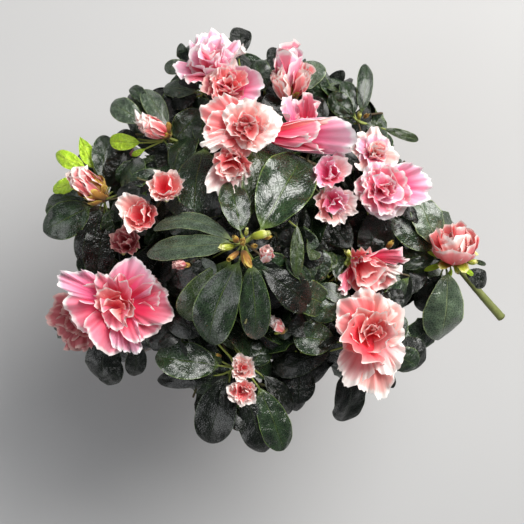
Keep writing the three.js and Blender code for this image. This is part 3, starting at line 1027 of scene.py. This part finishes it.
for tip, ahead in tips[shown_tips:]:
    turn = math.tau * grow_draws.random()
    across = ahead.orthogonal().normalized()
    dealt = UPRIGHT_DEAL if ahead.z > 0.6 else SIDE_DEAL
    for index in range(grow_draws.integers(5, 8)):
        turn += GOLDEN_TURN
        opened = math.radians(grow_draws.uniform(48, 84))
        around = Matrix.Rotation(turn, 3, ahead) @ across
        direction = ahead * math.cos(opened) + around * math.sin(opened)
        length = grow_draws.uniform(SHORTEST_LEAF, LONGEST_LEAF)
        width = grow_draws.uniform(0.46, 0.62)
        tone = grow_draws.choice(DEALT_TONES, p=dealt)
        foot = tip - ahead * LEAF_GAP * index
        while length > CUT_SHORT and not fits(foot, foot + direction * length, length * width / 2):
            length *= 0.85
        if length > CUT_SHORT:
            face = ahead * 0.7 + UP * 0.9
            bow, roll = leaf_draws.uniform(0.04, 0.16), leaf_draws.uniform(-20, 20)
            bend = leaf_draws.uniform(-0.04, 0.04)
            leaf(plain_leaf, foot, foot + direction * length, length * width, face, tone, bow, roll, bend)

for tone, (dark, light, rib, shine) in LEAF_TONES.items():
    glossy = Finish("leaf_" + tone)
    drawn = glossy.drawn()
    along = glossy.part(drawn, "Y")
    from_rib = abs(glossy.part(drawn, "X") * 2 - 1)
    net = glossy.node(
        "ShaderNodeTexVoronoi",
        {"feature": "DISTANCE_TO_EDGE", "voronoi_dimensions": "2D"},
        {"Vector": glossy.stretched(drawn, 15.0, 29.0, 1.0), "Scale": 1.0},
        "Distance",
    )
    cells = glossy.step(net, 0.0, 0.22)
    dome = glossy.step(net, 0.0, 0.5)
    side_vein = abs((along * 7 - from_rib * 2.2).repeated() * 2 - 1)
    vein = glossy.step(side_vein, 0.90, 1.0)
    midrib = 1 - glossy.step(from_rib + along * 0.02, 0.015, 0.06)
    cloud = glossy.grain(glossy.stretched(drawn, 3.0, 5.0, 1.0), 1.0)
    wrinkle = glossy.grain(glossy.stretched(drawn, 3.5, 7.0, 1.0), 1.0, 1.0)
    stalk = 1 - glossy.step(along, 0.03, 0.16)
    # a thin pale line along the blade's edge: a painted highlight where the edge catches the light
    rim = glossy.step(from_rib, 0.93, 1.0)
    # the net's lines are paler: partly the real vein net, partly painted glints off its relief
    blade_colour = glossy.mix(glossy.step(cloud, 0.3, 0.75) * 0.6 + (1 - cells) * 0.34, dark, light)
    lines = (midrib * 0.65 * (1 - along * 0.5)).larger(stalk).larger(rim * 0.8).larger(vein * 0.14)
    height = dome * 0.16 - vein * 0.3 - midrib * 0.8 + wrinkle * 2.4
    skin = glossy.surface(
        Base_Color=glossy.mix(lines, blade_colour, rib),
        Roughness=0.19 + (1 - cells) * 0.14 + cloud * 0.10,
        Normal=glossy.bump(height, 1.0, 0.0009),
        Specular_IOR_Level=0.22 + 0.38 * shine,
        Coat_Weight=0.6 * shine,
        Coat_Roughness=0.20,
    )
    slot = "young_foliage" if tone == "young" else "foliage"
    add_piece("leaves_" + tone, leaves[tone].mesh("leaves_" + tone), skin, MASSES)

green_stalk = Finish("leaf_stalk")
stalk_cloud = green_stalk.grain(green_stalk.place(), 300.0)
stalk_skin = green_stalk.surface(
    Base_Color=green_stalk.mix(stalk_cloud, (0.14, 0.18, 0.03), (0.30, 0.34, 0.06)),
    Roughness=0.45 + stalk_cloud * 0.2,
    Normal=green_stalk.bump(stalk_cloud, 0.3, 0.0002),
)
add_piece("leaf_stalks", stalks.mesh(), stalk_skin, MASSES)


# Flowers
# Double flowers, broad petals in up to five whorls round a heart of small folded ones. A petal is
# coral or rose at its foot and pales to a white, frilled edge. Half open buds are furled the same way.
PETAL_TONES = {
    # foot, middle and edge of the petal, and where along it the edge sets in
    "coral": ((0.85, 0.045, 0.075), (0.96, 0.33, 0.33), (0.97, 0.86, 0.81), 0.85),
    "rose": ((0.84, 0.030, 0.11), (0.96, 0.30, 0.40), (0.97, 0.87, 0.85), 0.85),
    "orchid": ((0.86, 0.075, 0.23), (0.96, 0.49, 0.64), (0.98, 0.91, 0.93), 0.83),
    "blush": ((0.89, 0.18, 0.18), (0.97, 0.62, 0.57), (0.98, 0.92, 0.88), 0.79),
    "pale": ((0.91, 0.36, 0.38), (0.97, 0.77, 0.74), (0.98, 0.93, 0.89), 0.70),
    # the shaded pink: the petal colours darkened and dulled, painted shade for flowers that lie behind or
    # under others
    "dusk": ((0.42, 0.04, 0.05), (0.60, 0.16, 0.18), (0.78, 0.50, 0.46), 0.84),
}
SCALE_TONES = {
    "lime": ((0.26, 0.32, 0.015), (0.44, 0.50, 0.04), (0.72, 0.72, 0.30), 0.84),
    "tan": ((0.10, 0.040, 0.008), (0.38, 0.17, 0.020), (0.60, 0.44, 0.08), 0.84),
}
fine_petal = sheet_pattern(44, 10)
inner_petal = sheet_pattern(26, 8)
plain_petal = sheet_pattern(16, 7)
scale_petal = sheet_pattern(6, 5)
petals = {tone: Heap() for tone in (*PETAL_TONES, *SCALE_TONES)}
petal_draws = np.random.default_rng(3)
TOOTH = 0.17  # height of the fringe's teeth, and
SCALLOP = 0.6  # of its scallops, as a share of the frill
FLUSH_LENGTH = 0.015  # of a petal whose colour runs out to the margin as far as drawn
LEAST_FLUSH, MOST_FLUSH = 0.9, 2.1  # how much less far it runs on shorter petals, and further on longer


def petal(pattern, foot, axis, bearing, length, half_width, lean, cup, frill, tone):
    """One petal: it leans by degrees from its foot to its tip, is cupped across, and frills at its edge."""
    across, along = pattern.flat[:, 0], pattern.flat[:, 1]
    east = Vector((1.0, 0.0, 0.0)) - axis * axis.x
    if east.length < 0.3:
        east = Vector((0.0, 1.0, 0.0)) - axis * axis.y
    radial = np.array(Matrix.Rotation(bearing, 3, axis) @ east.normalized())
    up = np.array(axis)
    beside = np.cross(up, radial)
    phase = math.tau * petal_draws.random(6)
    # its outline is a fan with a rounded rim, cut into teeth and scallops
    columns = len(np.unique(np.round(across, 4)))
    column = np.rint((across + 1) / 2 * (columns - 1)).astype(int)
    tooth = petal_draws.normal(0.0, TOOTH * frill, columns)[column]
    scallop = SCALLOP * frill * np.sin(petal_draws.uniform(5.0, 9.0) * across + phase[0])
    fan = min(1.25, 2.05 * half_width / length)
    out = length * np.cos(1.5 * across) ** 0.40 * along * (1 + (tooth + scallop) * along)
    sideways, run = out * np.sin(fan * across), out * np.cos(fan * across) / length
    # it leans more or less from its foot to its tip, and is cupped across
    first, last = math.radians(lean[0]), math.radians(lean[1]) + 1e-4
    angle = first + (last - first) * run
    rise = length * (np.sin(angle) - math.sin(first)) / (last - first)
    spread = length * (math.cos(first) - np.cos(angle)) / (last - first)
    curl = sideways * cup / half_width
    inward = half_width / cup * (1 - np.cos(curl))
    sideways = half_width / cup * np.sin(curl)
    # its frill is in broad waves from the foot on, and in close ones at the rim
    broad, tight = petal_draws.uniform(3.2, 5.6), petal_draws.uniform(0.5, 0.62) * columns
    wavy = along**1.6 * 0.9 * np.sin(broad * across + phase[1])
    close = 0.8 * np.sin(0.5 * tight * across + phase[2]) + 0.62 * np.sin(tight * across + phase[3])
    wavy = wavy + along**4 * close
    inward = inward + length * frill * wavy + petal_draws.uniform(-0.3, 0.3) * sideways * along
    rise = rise + 0.4 * frill * length * along**4 * np.cos(0.7 * tight * across + phase[4])
    facing = np.outer(np.sin(angle), up) - np.outer(np.cos(angle), radial)
    points = np.outer(rise, up) + np.outer(spread, radial) + np.outer(sideways, beside)
    flush = min(max(length / FLUSH_LENGTH, LEAST_FLUSH), MOST_FLUSH)
    window = petal_draws.random() / 2 + (across + 1) / 4
    mapped = np.stack([window, along**flush], axis=1)
    petals[tone].add(pattern, points + facing * inward[:, None] + np.array(foot), mapped)


# Whorls from the outermost in: petals, length and half width as shares of the flower's radius, lean at
# foot and tip in degrees, cup in radians, and frill as a share of the length
OPEN_WHORLS = [
    (5, 1.00, 0.52, (56, 90), 0.4, 0.085),
    (5, 0.86, 0.50, (48, 64), 0.7, 0.100),
    (4, 0.70, 0.44, (36, 34), 1.2, 0.120),
    (4, 0.56, 0.34, (22, 10), 1.8, 0.140),
    (2, 0.40, 0.24, (12, -8), 2.4, 0.150),
]
FLAT_WHORLS = [
    (6, 1.00, 0.44, (60, 92), 0.4, 0.085),
    (4, 0.66, 0.40, (50, 56), 1.0, 0.130),
    (4, 0.46, 0.30, (46, 24), 1.7, 0.130),
]
FULL_WHORLS = [
    (5, 1.00, 0.52, (58, 90), 0.4, 0.085),
    (4, 0.72, 0.50, (60, 8), 1.4, 0.100),
    (3, 0.54, 0.40, (36, -10), 1.9, 0.130),
    (2, 0.38, 0.26, (14, -10), 2.4, 0.140),
]
CUP_WHORLS = [
    (5, 1.00, 0.52, (62, 50), 0.7, 0.085),
    (4, 0.88, 0.50, (50, 26), 1.1, 0.110),
    (3, 0.74, 0.42, (34, 10), 1.6, 0.130),
    (3, 0.56, 0.30, (18, -6), 2.2, 0.150),
]
TRUMPET_WHORLS = [(5, 1.00, 0.28, (-3, 20), 1.3, 0.026)]
SMALL_WHORLS = [
    (5, 1.00, 0.56, (60, 36), 0.8, 0.095),
    (4, 0.80, 0.50, (44, 12), 1.3, 0.120),
    (2, 0.62, 0.38, (24, -10), 2.0, 0.140),
]
GOBLET_WHORLS = [
    (5, 1.00, 0.62, (64, 20), 0.9, 0.080),
    (3, 0.80, 0.54, (48, -12), 1.3, 0.090),
]
GLOBE_WHORLS = [
    (5, 0.86, 0.60, (84, -10), 1.2, 0.030),
    (5, 0.82, 0.52, (70, -30), 1.4, 0.050),
    (4, 0.74, 0.44, (54, -30), 1.8, 0.070),
    (4, 0.66, 0.32, (34, -24), 2.2, 0.090),
]
UPRIGHT_WHORLS = [
    (5, 1.00, 0.56, (44, 20), 1.2, 0.095),
    (2, 0.70, 0.38, (24, -10), 2.0, 0.140),
]
BUD_WHORLS = [
    (4, 1.00, 0.38, (40, -24), 1.4, 0.045),
    (4, 1.00, 0.36, (30, -12), 1.5, 0.065),
    (3, 0.94, 0.30, (14, -2), 1.8, 0.100),
]
CLOSED_WHORLS = [
    (3, 1.00, 0.29, (40, -32), 1.7, 0.010),
    (3, 0.96, 0.26, (32, -26), 1.8, 0.010),
]
SEPALS = [(5, 1.00, 0.24, (74, 92), 1.0, 0.020)]
BUD_SCALES = [
    (7, 1.00, 0.15, (46, -16), 1.0, 0.030),
    (7, 0.74, 0.15, (56, -2), 1.0, 0.040),
    (5, 0.50, 0.17, (68, 16), 1.1, 0.050),
]
WHORL_RISE = 0.055  # from whorl to whorl up the flower's axis, as a share of its radius
FOOT_STRAY = 0.05  # how far the feet of its petals stray, as a share of the radius
TURN_STRAY = 0.18  # how far a petal strays to one side, in radians
LENGTH_STRAY = 0.11
LEAN_STRAY = 11  # in degrees
SEEN_WIDTH = 0.55  # half width of a petal, fringe and all, for its width in the view from above


def flower(place, whorls, tones, pattern=fine_petal, drawn=(), loose=1.0):
    """A flower of the given whorls and tones, from the outermost in, with the petals that are drawn."""
    axis, radius = place.axis.normalized(), place.size
    turn = math.tau * petal_draws.random()
    for number, (count, length, half_width, lean, cup, frill) in enumerate(whorls):
        tone = tones[min(number, len(tones) - 1)]
        turn += math.pi / count
        turns = [turn + math.tau * i / count for i in range(count)]
        rows = [(bearing, radius * length, radius * half_width, tone) for bearing in turns]
        if number < len(drawn):
            side = pixel_size(place.foot)
            rows = [
                (math.radians(bearing), long * side, wide * side * SEEN_WIDTH, shade[0] if shade else tone)
                for bearing, long, wide, *shade in drawn[number]
            ]
        if pattern is fine_petal and number > 1:
            pattern = inner_petal
        slack = loose * (0.9 + 0.5 * number)
        stray = 0.3 if number < len(drawn) else slack
        for bearing, long, half, shade in rows:
            strayed = Vector(petal_draws.uniform(-FOOT_STRAY, FOOT_STRAY, 3)) * radius * number
            foot = place.foot + axis * (WHORL_RISE * radius * number) + strayed
            bearing = bearing + stray * petal_draws.uniform(-TURN_STRAY, TURN_STRAY)
            long = long * (1 + stray * petal_draws.uniform(-LENGTH_STRAY, LENGTH_STRAY))
            half = half * petal_draws.uniform(0.92, 1.15)
            leans = [angle + slack * petal_draws.uniform(-LEAN_STRAY, LEAN_STRAY) for angle in lean]
            curl = cup * petal_draws.uniform(0.8, 1.3)
            ruffle = frill * petal_draws.uniform(0.7, 1.3)
            petal(pattern, foot, axis, bearing, long, half, leans, curl, ruffle, shade)


FLOWER_MAKES = {
    # its whorls, their tones, and for its outer whorls each petal that the view shows: bearing, length
    # and width in pixels, and its tone where that isn't its whorl's own
    "top left": (OPEN_WHORLS[:4], ("orchid", "orchid", "orchid", "rose"), [
        (180, 40, 28), (140, 28, 30), (100, 50, 34), (68, 48, 36), (34, 44, 38, "pale"),
        (-30, 30, 34, "blush"), (215, 30, 34, "rose"),
    ], [
        (110, 34, 26), (75, 34, 26), (40, 32, 30), (0, 28, 30), (160, 26, 30, "rose"),
    ]),
    "top, behind": (CUP_WHORLS, ("dusk", "coral", "rose", "coral"), [
        (190, 30, 34), (140, 26, 34, "coral"), (60, 24, 34, "coral"), (-6, 39, 34, "orchid"),
        (-60, 24, 30), (225, 32, 28),
    ]),
    "top middle": (OPEN_WHORLS, ("blush", "blush", "coral", "coral", "coral"), [
        (150, 48, 34, "coral"), (108, 32, 40), (62, 32, 42), (18, 38, 44, "pale"), (-28, 35, 40),
        (184, 44, 32, "coral"), (206, 50, 16, "pale"), (240, 30, 34, "coral"),
    ], [
        (120, 30, 38), (50, 30, 44), (-20, 29, 40), (200, 28, 36, "coral"), (-90, 22, 38),
    ]),
    "top middle, lower": (CUP_WHORLS[:3], ("coral", "coral", "coral"), [
        (-62, 32, 22, "pale"), (-116, 40, 30, "pale"), (180, 24, 32), (0, 28, 32), (90, 20, 30),
    ], [
        (186, 29, 36), (-4, 30, 38), (-90, 26, 64, "blush"), (90, 16, 30),
    ]),
    "top right, on its side": (TRUMPET_WHORLS, ("rose",), [
        (96, 102, 36, "orchid"), (150, 98, 30, "blush"), (50, 66, 26), (190, 70, 18), (0, 70, 24),
        (270, 76, 30), (80, 58, 24),
    ]),
    "top right, upright": (UPRIGHT_WHORLS, ("orchid", "rose"), [
        (146, 43, 32), (32, 45, 35, "rose"), (92, 40, 26), (-40, 23, 26), (-130, 21, 26, "rose"),
    ]),
    "right of the middle": (GOBLET_WHORLS, ("orchid", "orchid"), [
        (80, 28, 34), (20, 28, 30, "pale"), (140, 24, 32), (210, 28, 34), (-70, 26, 34, "rose"),
    ]),
    "right of the middle, lower": (GOBLET_WHORLS, ("pale", "orchid"), [
        (196, 34, 36, "blush"), (130, 27, 30), (60, 25, 30, "orchid"), (0, 31, 28), (-54, 30, 20),
        (-118, 30, 34, "blush"),
    ]),
    "back right, small": (OPEN_WHORLS, ("blush", "orchid", "coral", "blush", "rose")),
    "back right, large": (OPEN_WHORLS, ("orchid", "rose", "orchid", "rose", "rose"), [
        (6, 49, 42), (-46, 35, 36, "blush"), (-86, 34, 38), (-132, 31, 34), (180, 30, 38, "rose"),
        (90, 28, 36), (136, 28, 32),
    ]),
    "right, nodding": (CUP_WHORLS[:3], ("coral", "coral", "coral"), [
        (98, 29, 18), (14, 50, 15, "rose"), (-14, 47, 14, "pale"), (-42, 46, 26), (-84, 34, 32),
        (-142, 42, 14, "rose"),
    ], [
        (-52, 34, 40), (20, 28, 24, "orchid"), (-112, 26, 30), (90, 18, 24, "rose"),
    ]),
    "front right": (FULL_WHORLS, ("blush", "blush", "coral", "coral"), [
        (134, 47, 40, "coral"), (96, 45, 38), (58, 42, 38), (20, 34, 42), (172, 38, 38, "coral"),
        (-120, 56, 34, "pale"), (-88, 64, 32), (-58, 46, 32, "pale"),
    ], [
        (-148, 54, 76, "coral"), (62, 36, 44), (-10, 42, 54, "pale"), (142, 40, 42),
    ], [
        (-96, 28, 56), (14, 26, 36), (118, 26, 36, "blush"),
    ]),
    "front left": (FLAT_WHORLS, ("rose", "rose", "coral"), [
        (153, 64, 26, "orchid"), (190, 54, 46), (60, 52, 42, "orchid"), (22, 47, 34), (-2, 57, 34),
        (-38, 50, 36), (-74, 54, 28, "orchid"), (-108, 52, 46),
    ], [
        (114, 40, 36), (72, 36, 36), (150, 28, 28, "coral"), (-86, 34, 30),
    ], [
        (-44, 28, 34, "blush"), (22, 25, 28), (110, 24, 30),
    ]),
    "front left, behind": (FLAT_WHORLS, ("dusk", "dusk", "coral"), [
        (158, 34, 34), (198, 36, 34), (238, 38, 36), (282, 38, 34),
    ]),
    "left middle, upper": (GOBLET_WHORLS, ("blush", "coral"), [
        (95, 27, 42), (30, 25, 34), (-24, 29, 30), (-84, 23, 38), (165, 29, 38), (-135, 26, 34),
    ]),
    "left middle, lower": (GOBLET_WHORLS, ("coral", "coral"), [
        (142, 34, 34, "blush"), (200, 28, 36), (256, 31, 34, "blush"), (20, 22, 32), (80, 20, 32),
        (-40, 29, 32),
    ]),
    "left middle, dark": (GOBLET_WHORLS, ("dusk", "dusk")),
    "side shoot": (GLOBE_WHORLS, ("coral", "blush", "coral", "coral")),
    "front": (CUP_WHORLS, ("blush", "coral", "coral", "coral")),
    "front, upper": (SMALL_WHORLS, ("blush", "blush", "coral")),
}
BUD_MAKES = {
    # its tones from the outermost in, and how much of its length the brown scales cover
    "top right, large": (("orchid", "orchid", "rose"), 0.56),
    "top right, left": (("blush", "coral", "coral"), 0.56),
    "top right, small": (("coral", "coral", "coral"), 0.56),
    "upper left": (("coral", "coral", "blush"), 0.56),
    "left": (("coral", "coral", "blush"), 0.88),
    "middle": (("blush", "coral", "coral"), 0.36),
    "front middle": (("blush", "coral", "blush"), 0.36),
    "left of the middle": (("dusk", "dusk", "dusk"), 0.60),
}
CALYX_SUNK = 0.0018  # how far the calyx starts under the foot of the petals
SEPAL_LENGTH = 0.007
GLOBE_SEPAL_LENGTH = 0.016
SIDE_SEPAL_LENGTH = 0.009
LEAST_SCALES = 0.005


def calyx(place, length, whorls, tone):
    """Small scales round the foot of a flower or bud."""
    flower(Place(place.foot - place.axis * CALYX_SUNK, place.axis, length), whorls, (tone,), scale_petal)


for name, (whorls, tones, *drawn) in FLOWER_MAKES.items():
    flower(flower_places[name], whorls, tones, drawn=drawn)
    calyx(flower_places[name], GLOBE_SEPAL_LENGTH if whorls is GLOBE_WHORLS else SEPAL_LENGTH, SEPALS, "lime")
for name, (tones, scaled) in BUD_MAKES.items():
    place = bud_places[name]
    flower(place, BUD_WHORLS, tones, inner_petal, loose=0.3)
    calyx(place, max(LEAST_SCALES, scaled * place.size), BUD_SCALES, "tan")

SIDE_FLOWERS = 0.40  # of the shoots round the sides bear a flower, hidden from above by the crown
SIDE_APART = 0.034  # between the middles of neighbouring flowers
SIDE_FROM = 0.070  # least distance of such a shoot from the stem's line
SIDE_RADII = (0.015, 0.024)  # least and greatest
SIDE_KINDS = (OPEN_WHORLS, CUP_WHORLS, OPEN_WHORLS, CUP_WHORLS, BUD_WHORLS)
SIDE_TONES = ("coral", "rose", "orchid", "blush")
BUD_SHARE = 0.85  # of a flower's radius, for a bud's length
SIDE_INSETS = (0.0, 0.006, 0.012)  # how far in a flower may sit on its shoot until the crown hides it
SIDE_COVER = 0.008  # of crown over such a flower's rim
SIDE_OVERHANG = 0.012  # how far its rim may stick out of the crown's outside
RIM_POINTS = 12
side_places = []
for tip, ahead in tips[shown_tips:]:
    from_middle = math.hypot(tip.x - stem_top.x, tip.y - stem_top.y)
    if from_middle < SIDE_FROM or not -0.5 < ahead.z < 0.8 or grow_draws.random() > SIDE_FLOWERS:
        continue
    whorls = SIDE_KINDS[grow_draws.integers(len(SIDE_KINDS))]
    outward = (ahead + Vector((tip.x, tip.y, 0.0)).normalized()).normalized()
    size = grow_draws.uniform(*SIDE_RADII) * (BUD_SHARE if whorls is BUD_WHORLS else 1.0)
    across = outward.orthogonal().normalized() * size * 0.95
    around = [Matrix.Rotation(math.tau * i / RIM_POINTS, 3, outward) @ across for i in range(RIM_POINTS)]
    for inset in SIDE_INSETS:
        place = Place(tip - outward * inset, outward, size)
        middle = place.foot + outward * size * 0.8
        rim = [middle + arm for arm in around]
        if all(covered(p, SIDE_COVER) and shown.hides(p) and outside(p) < SIDE_OVERHANG for p in rim):
            break
    else:
        continue
    if any((middle - other).length < SIDE_APART for other in side_places):
        continue
    side_places.append(middle)
    tones = [SIDE_TONES[i] for i in grow_draws.integers(len(SIDE_TONES), size=4)]
    flower(place, whorls, tones, plain_petal)
    calyx(place, SIDE_SEPAL_LENGTH, SEPALS, "lime")

# The small closed buds of the view from above: pixel and depth of the foot, bearing and tilt of the
# axis, length and tone
CLOSED_BUDS = [
    ((251, 237), 3, 14, 66, 22, "lime"), ((236, 246), 4, 186, 66, 19, "lime"),
    ((243, 244), 2, 90, 10, 16, "tan"), ((251, 245), 2, -20, 30, 12, "tan"),
    ((242, 250), 3, -62, 62, 22, "tan"), ((238, 243), 3, 120, 34, 14, "tan"),
    ((239, 251), 4, 220, 62, 15, "tan"), ((262, 238), 4, 10, 60, 11, "tan"),
    ((246, 236), 3, 80, 40, 11, "lime"), ((364, 118), 3, 30, 14, 13, "tan"),
    ((359, 120), 4, 90, 40, 11, "lime"), ((386, 250), 8, 60, 50, 14, "tan"),
    ((274, 334), 5, 20, 50, 12, "lime"), ((222, 357), 4, 150, 50, 9, "tan"),
    ((240, 355), 4, 80, 50, 9, "lime"), ((168, 134), 3, 80, 50, 14, "tan"),
    ((101, 196), 3, 60, 50, 16, "tan"), ((294, 98), 3, 70, 50, 12, "lime"),
    ((353, 259), 2, 130, 60, 15, "lime"), ((455, 264), 4, -80, 50, 13, "lime"),
    ((447, 263), 4, 200, 60, 12, "lime"), ((466, 262), 4, 0, 60, 12, "lime"),
]
for *placed, tone in CLOSED_BUDS:
    flower(seen_place(*placed), CLOSED_WHORLS, (tone,), scale_petal)

for tone, (foot_colour, middle_colour, edge_colour, edge) in {**PETAL_TONES, **SCALE_TONES}.items():
    scaly = tone in SCALE_TONES
    satin = Finish("petal_" + tone)
    drawn = satin.drawn()
    along = satin.part(drawn, "Y")
    streak = satin.grain(satin.stretched(drawn, 30.0, 1.6, 1.0), 1.0, 3.0)
    blotch = satin.grain(satin.stretched(drawn, 7.0, 3.0, 1.0), 1.0, 2.0)
    inner = 1 - satin.step(along + (streak - 0.5) * 0.5, 0.16, 0.92)
    ragged = along + (streak - 0.5) * 0.20 + (blotch - 0.5) * 0.34
    rim = satin.step(ragged, edge - 0.04, edge + 0.15)
    skin = satin.surface(
        Base_Color=satin.mix(rim, satin.mix(inner, middle_colour, foot_colour), edge_colour),
        Roughness=0.50 + streak * 0.15,
        Normal=satin.bump(streak, 0.35, 0.0005),
        Sheen_Weight=0.15,
        through=0.0 if scaly else 0.18,
    )
    name = ("scales_" if scaly else "petals_") + tone
    add_piece(name, petals[tone].mesh(name), skin)


# Side stem
# The side shoot's own stem runs out past its leaves and ends blunt, where it was cut with shears. It is
# a year old, olive green and smooth, with small raised pores.
STUB_COURSE = (
    Vector((0.126, -0.008, 0.170)),
    Vector((0.142, -0.026, 0.163)),
    Vector((0.162, -0.046, 0.152)),
)
STUB_RADII = (0.0019, 0.0028)
STUB_STEPS = 30
STUB_SIDES = 16
SWELLS, PORES = 420, 1300  # to a metre
stub_bm = bmesh.new()
stub_shares = [i / STUB_STEPS for i in range(STUB_STEPS + 1)]
stub_points = [along_bend(*STUB_COURSE, share) for share in stub_shares]
stub_radii = [STUB_RADII[0] + (STUB_RADII[1] - STUB_RADII[0]) * share for share in stub_shares]


def green_relief(point, radius):
    """The young skin's slight swells and raised pores, as a share of the radius."""
    return 0.05 * noise.noise(point * SWELLS) + 0.04 * noise.noise(point * PORES)


limb(stub_bm, stub_points, stub_radii, STUB_SIDES, green_relief)
bmesh.ops.recalc_face_normals(stub_bm, faces=stub_bm.faces)
green_wood = Finish("green_wood")
green_place = green_wood.place()
green_cloud = green_wood.grain(green_place, 260.0)
green_pores = green_wood.step(green_wood.grain(green_place, 1500.0, 1.0), 0.62, 0.72)
green_year = green_wood.mix(green_cloud, (0.10, 0.12, 0.03), (0.24, 0.27, 0.08))
green_skin = green_wood.surface(
    Base_Color=green_wood.mix(green_pores * 0.5, green_year, (0.32, 0.26, 0.12)),
    Roughness=0.5 + green_cloud * 0.15,
    Normal=green_wood.bump(green_pores + green_cloud, 0.4, 0.0003),
)
add_piece("side_stem", stub_bm, green_skin, ["side_stem_stub"])


# Floor, light and camera
# The plant stands on a plain pale plaster floor that runs out of the view. A soft lamp from the back
# right and three weaker ones light it under a dim sky, and the camera looks straight down on the crown.
FLOOR_REACH = 3.0
floor_bm = bmesh.new()
bmesh.ops.create_grid(floor_bm, x_segments=2, y_segments=2, size=FLOOR_REACH)
floor = put_in("floor", mesh_of("floor", floor_bm))
plaster = Finish("plaster")
plaster_colour = plaster.mix(plaster.grain(plaster.place(), 3.0), (0.49, 0.49, 0.49), (0.54, 0.54, 0.535))
floor.data.materials.append(plaster.surface(Base_Color=plaster_colour, Roughness=0.8))

CROWN_MIDDLE = (0.0, 0.0, 0.19)
LAMPS = {
    # place, what it is aimed at, width, power in watts and colour
    "key": ((0.62, 0.60, 0.95), CROWN_MIDDLE, 0.9, 18.8, (1.0, 0.98, 0.95)),
    "fill": ((-1.3, -0.6, 1.3), CROWN_MIDDLE, 1.4, 8.4, (0.97, 0.98, 1.0)),
    "top": ((0.65, 0.85, 1.6), CROWN_MIDDLE, 1.4, 15.5, (1.0, 1.0, 1.0)),
    "floor": ((-1.1, -1.3, 0.75), (-0.35, -0.4, 0.0), 0.9, 4.5, (1.0, 1.0, 1.0)),
}
for name, (place, aim, width, power, colour) in LAMPS.items():
    lamp = bpy.data.lights.new(name, "AREA")
    lamp.shape = "DISK"
    lamp.size = width
    lamp.energy = power
    lamp.color = colour
    softbox = put_in(name, lamp)
    softbox.location = place
    softbox.rotation_euler = (Vector(aim) - Vector(place)).to_track_quat("-Z", "Y").to_euler()
SKY_COLOUR = (0.9, 0.93, 1.0, 1.0)
SKY_STRENGTH = 0.12
world = bpy.data.worlds.new("studio")
world.use_nodes = True
sky = world.node_tree.nodes["Background"]
sky.inputs["Color"].default_value = SKY_COLOUR
sky.inputs["Strength"].default_value = SKY_STRENGTH
bpy.context.scene.world = world
bpy.context.scene.view_settings.view_transform = "Standard"

SENSOR_WIDTH = 36.0  # in millimetres, like the lens
camera_data = bpy.data.cameras.new("view_from_above")
camera_data.sensor_width = SENSOR_WIDTH
camera_data.lens = SENSOR_WIDTH * FOCAL / VIEW_SIDE
camera_data.clip_start = 0.01
camera = put_in("view_from_above", camera_data)
camera.location = EYE
bpy.context.scene.camera = camera
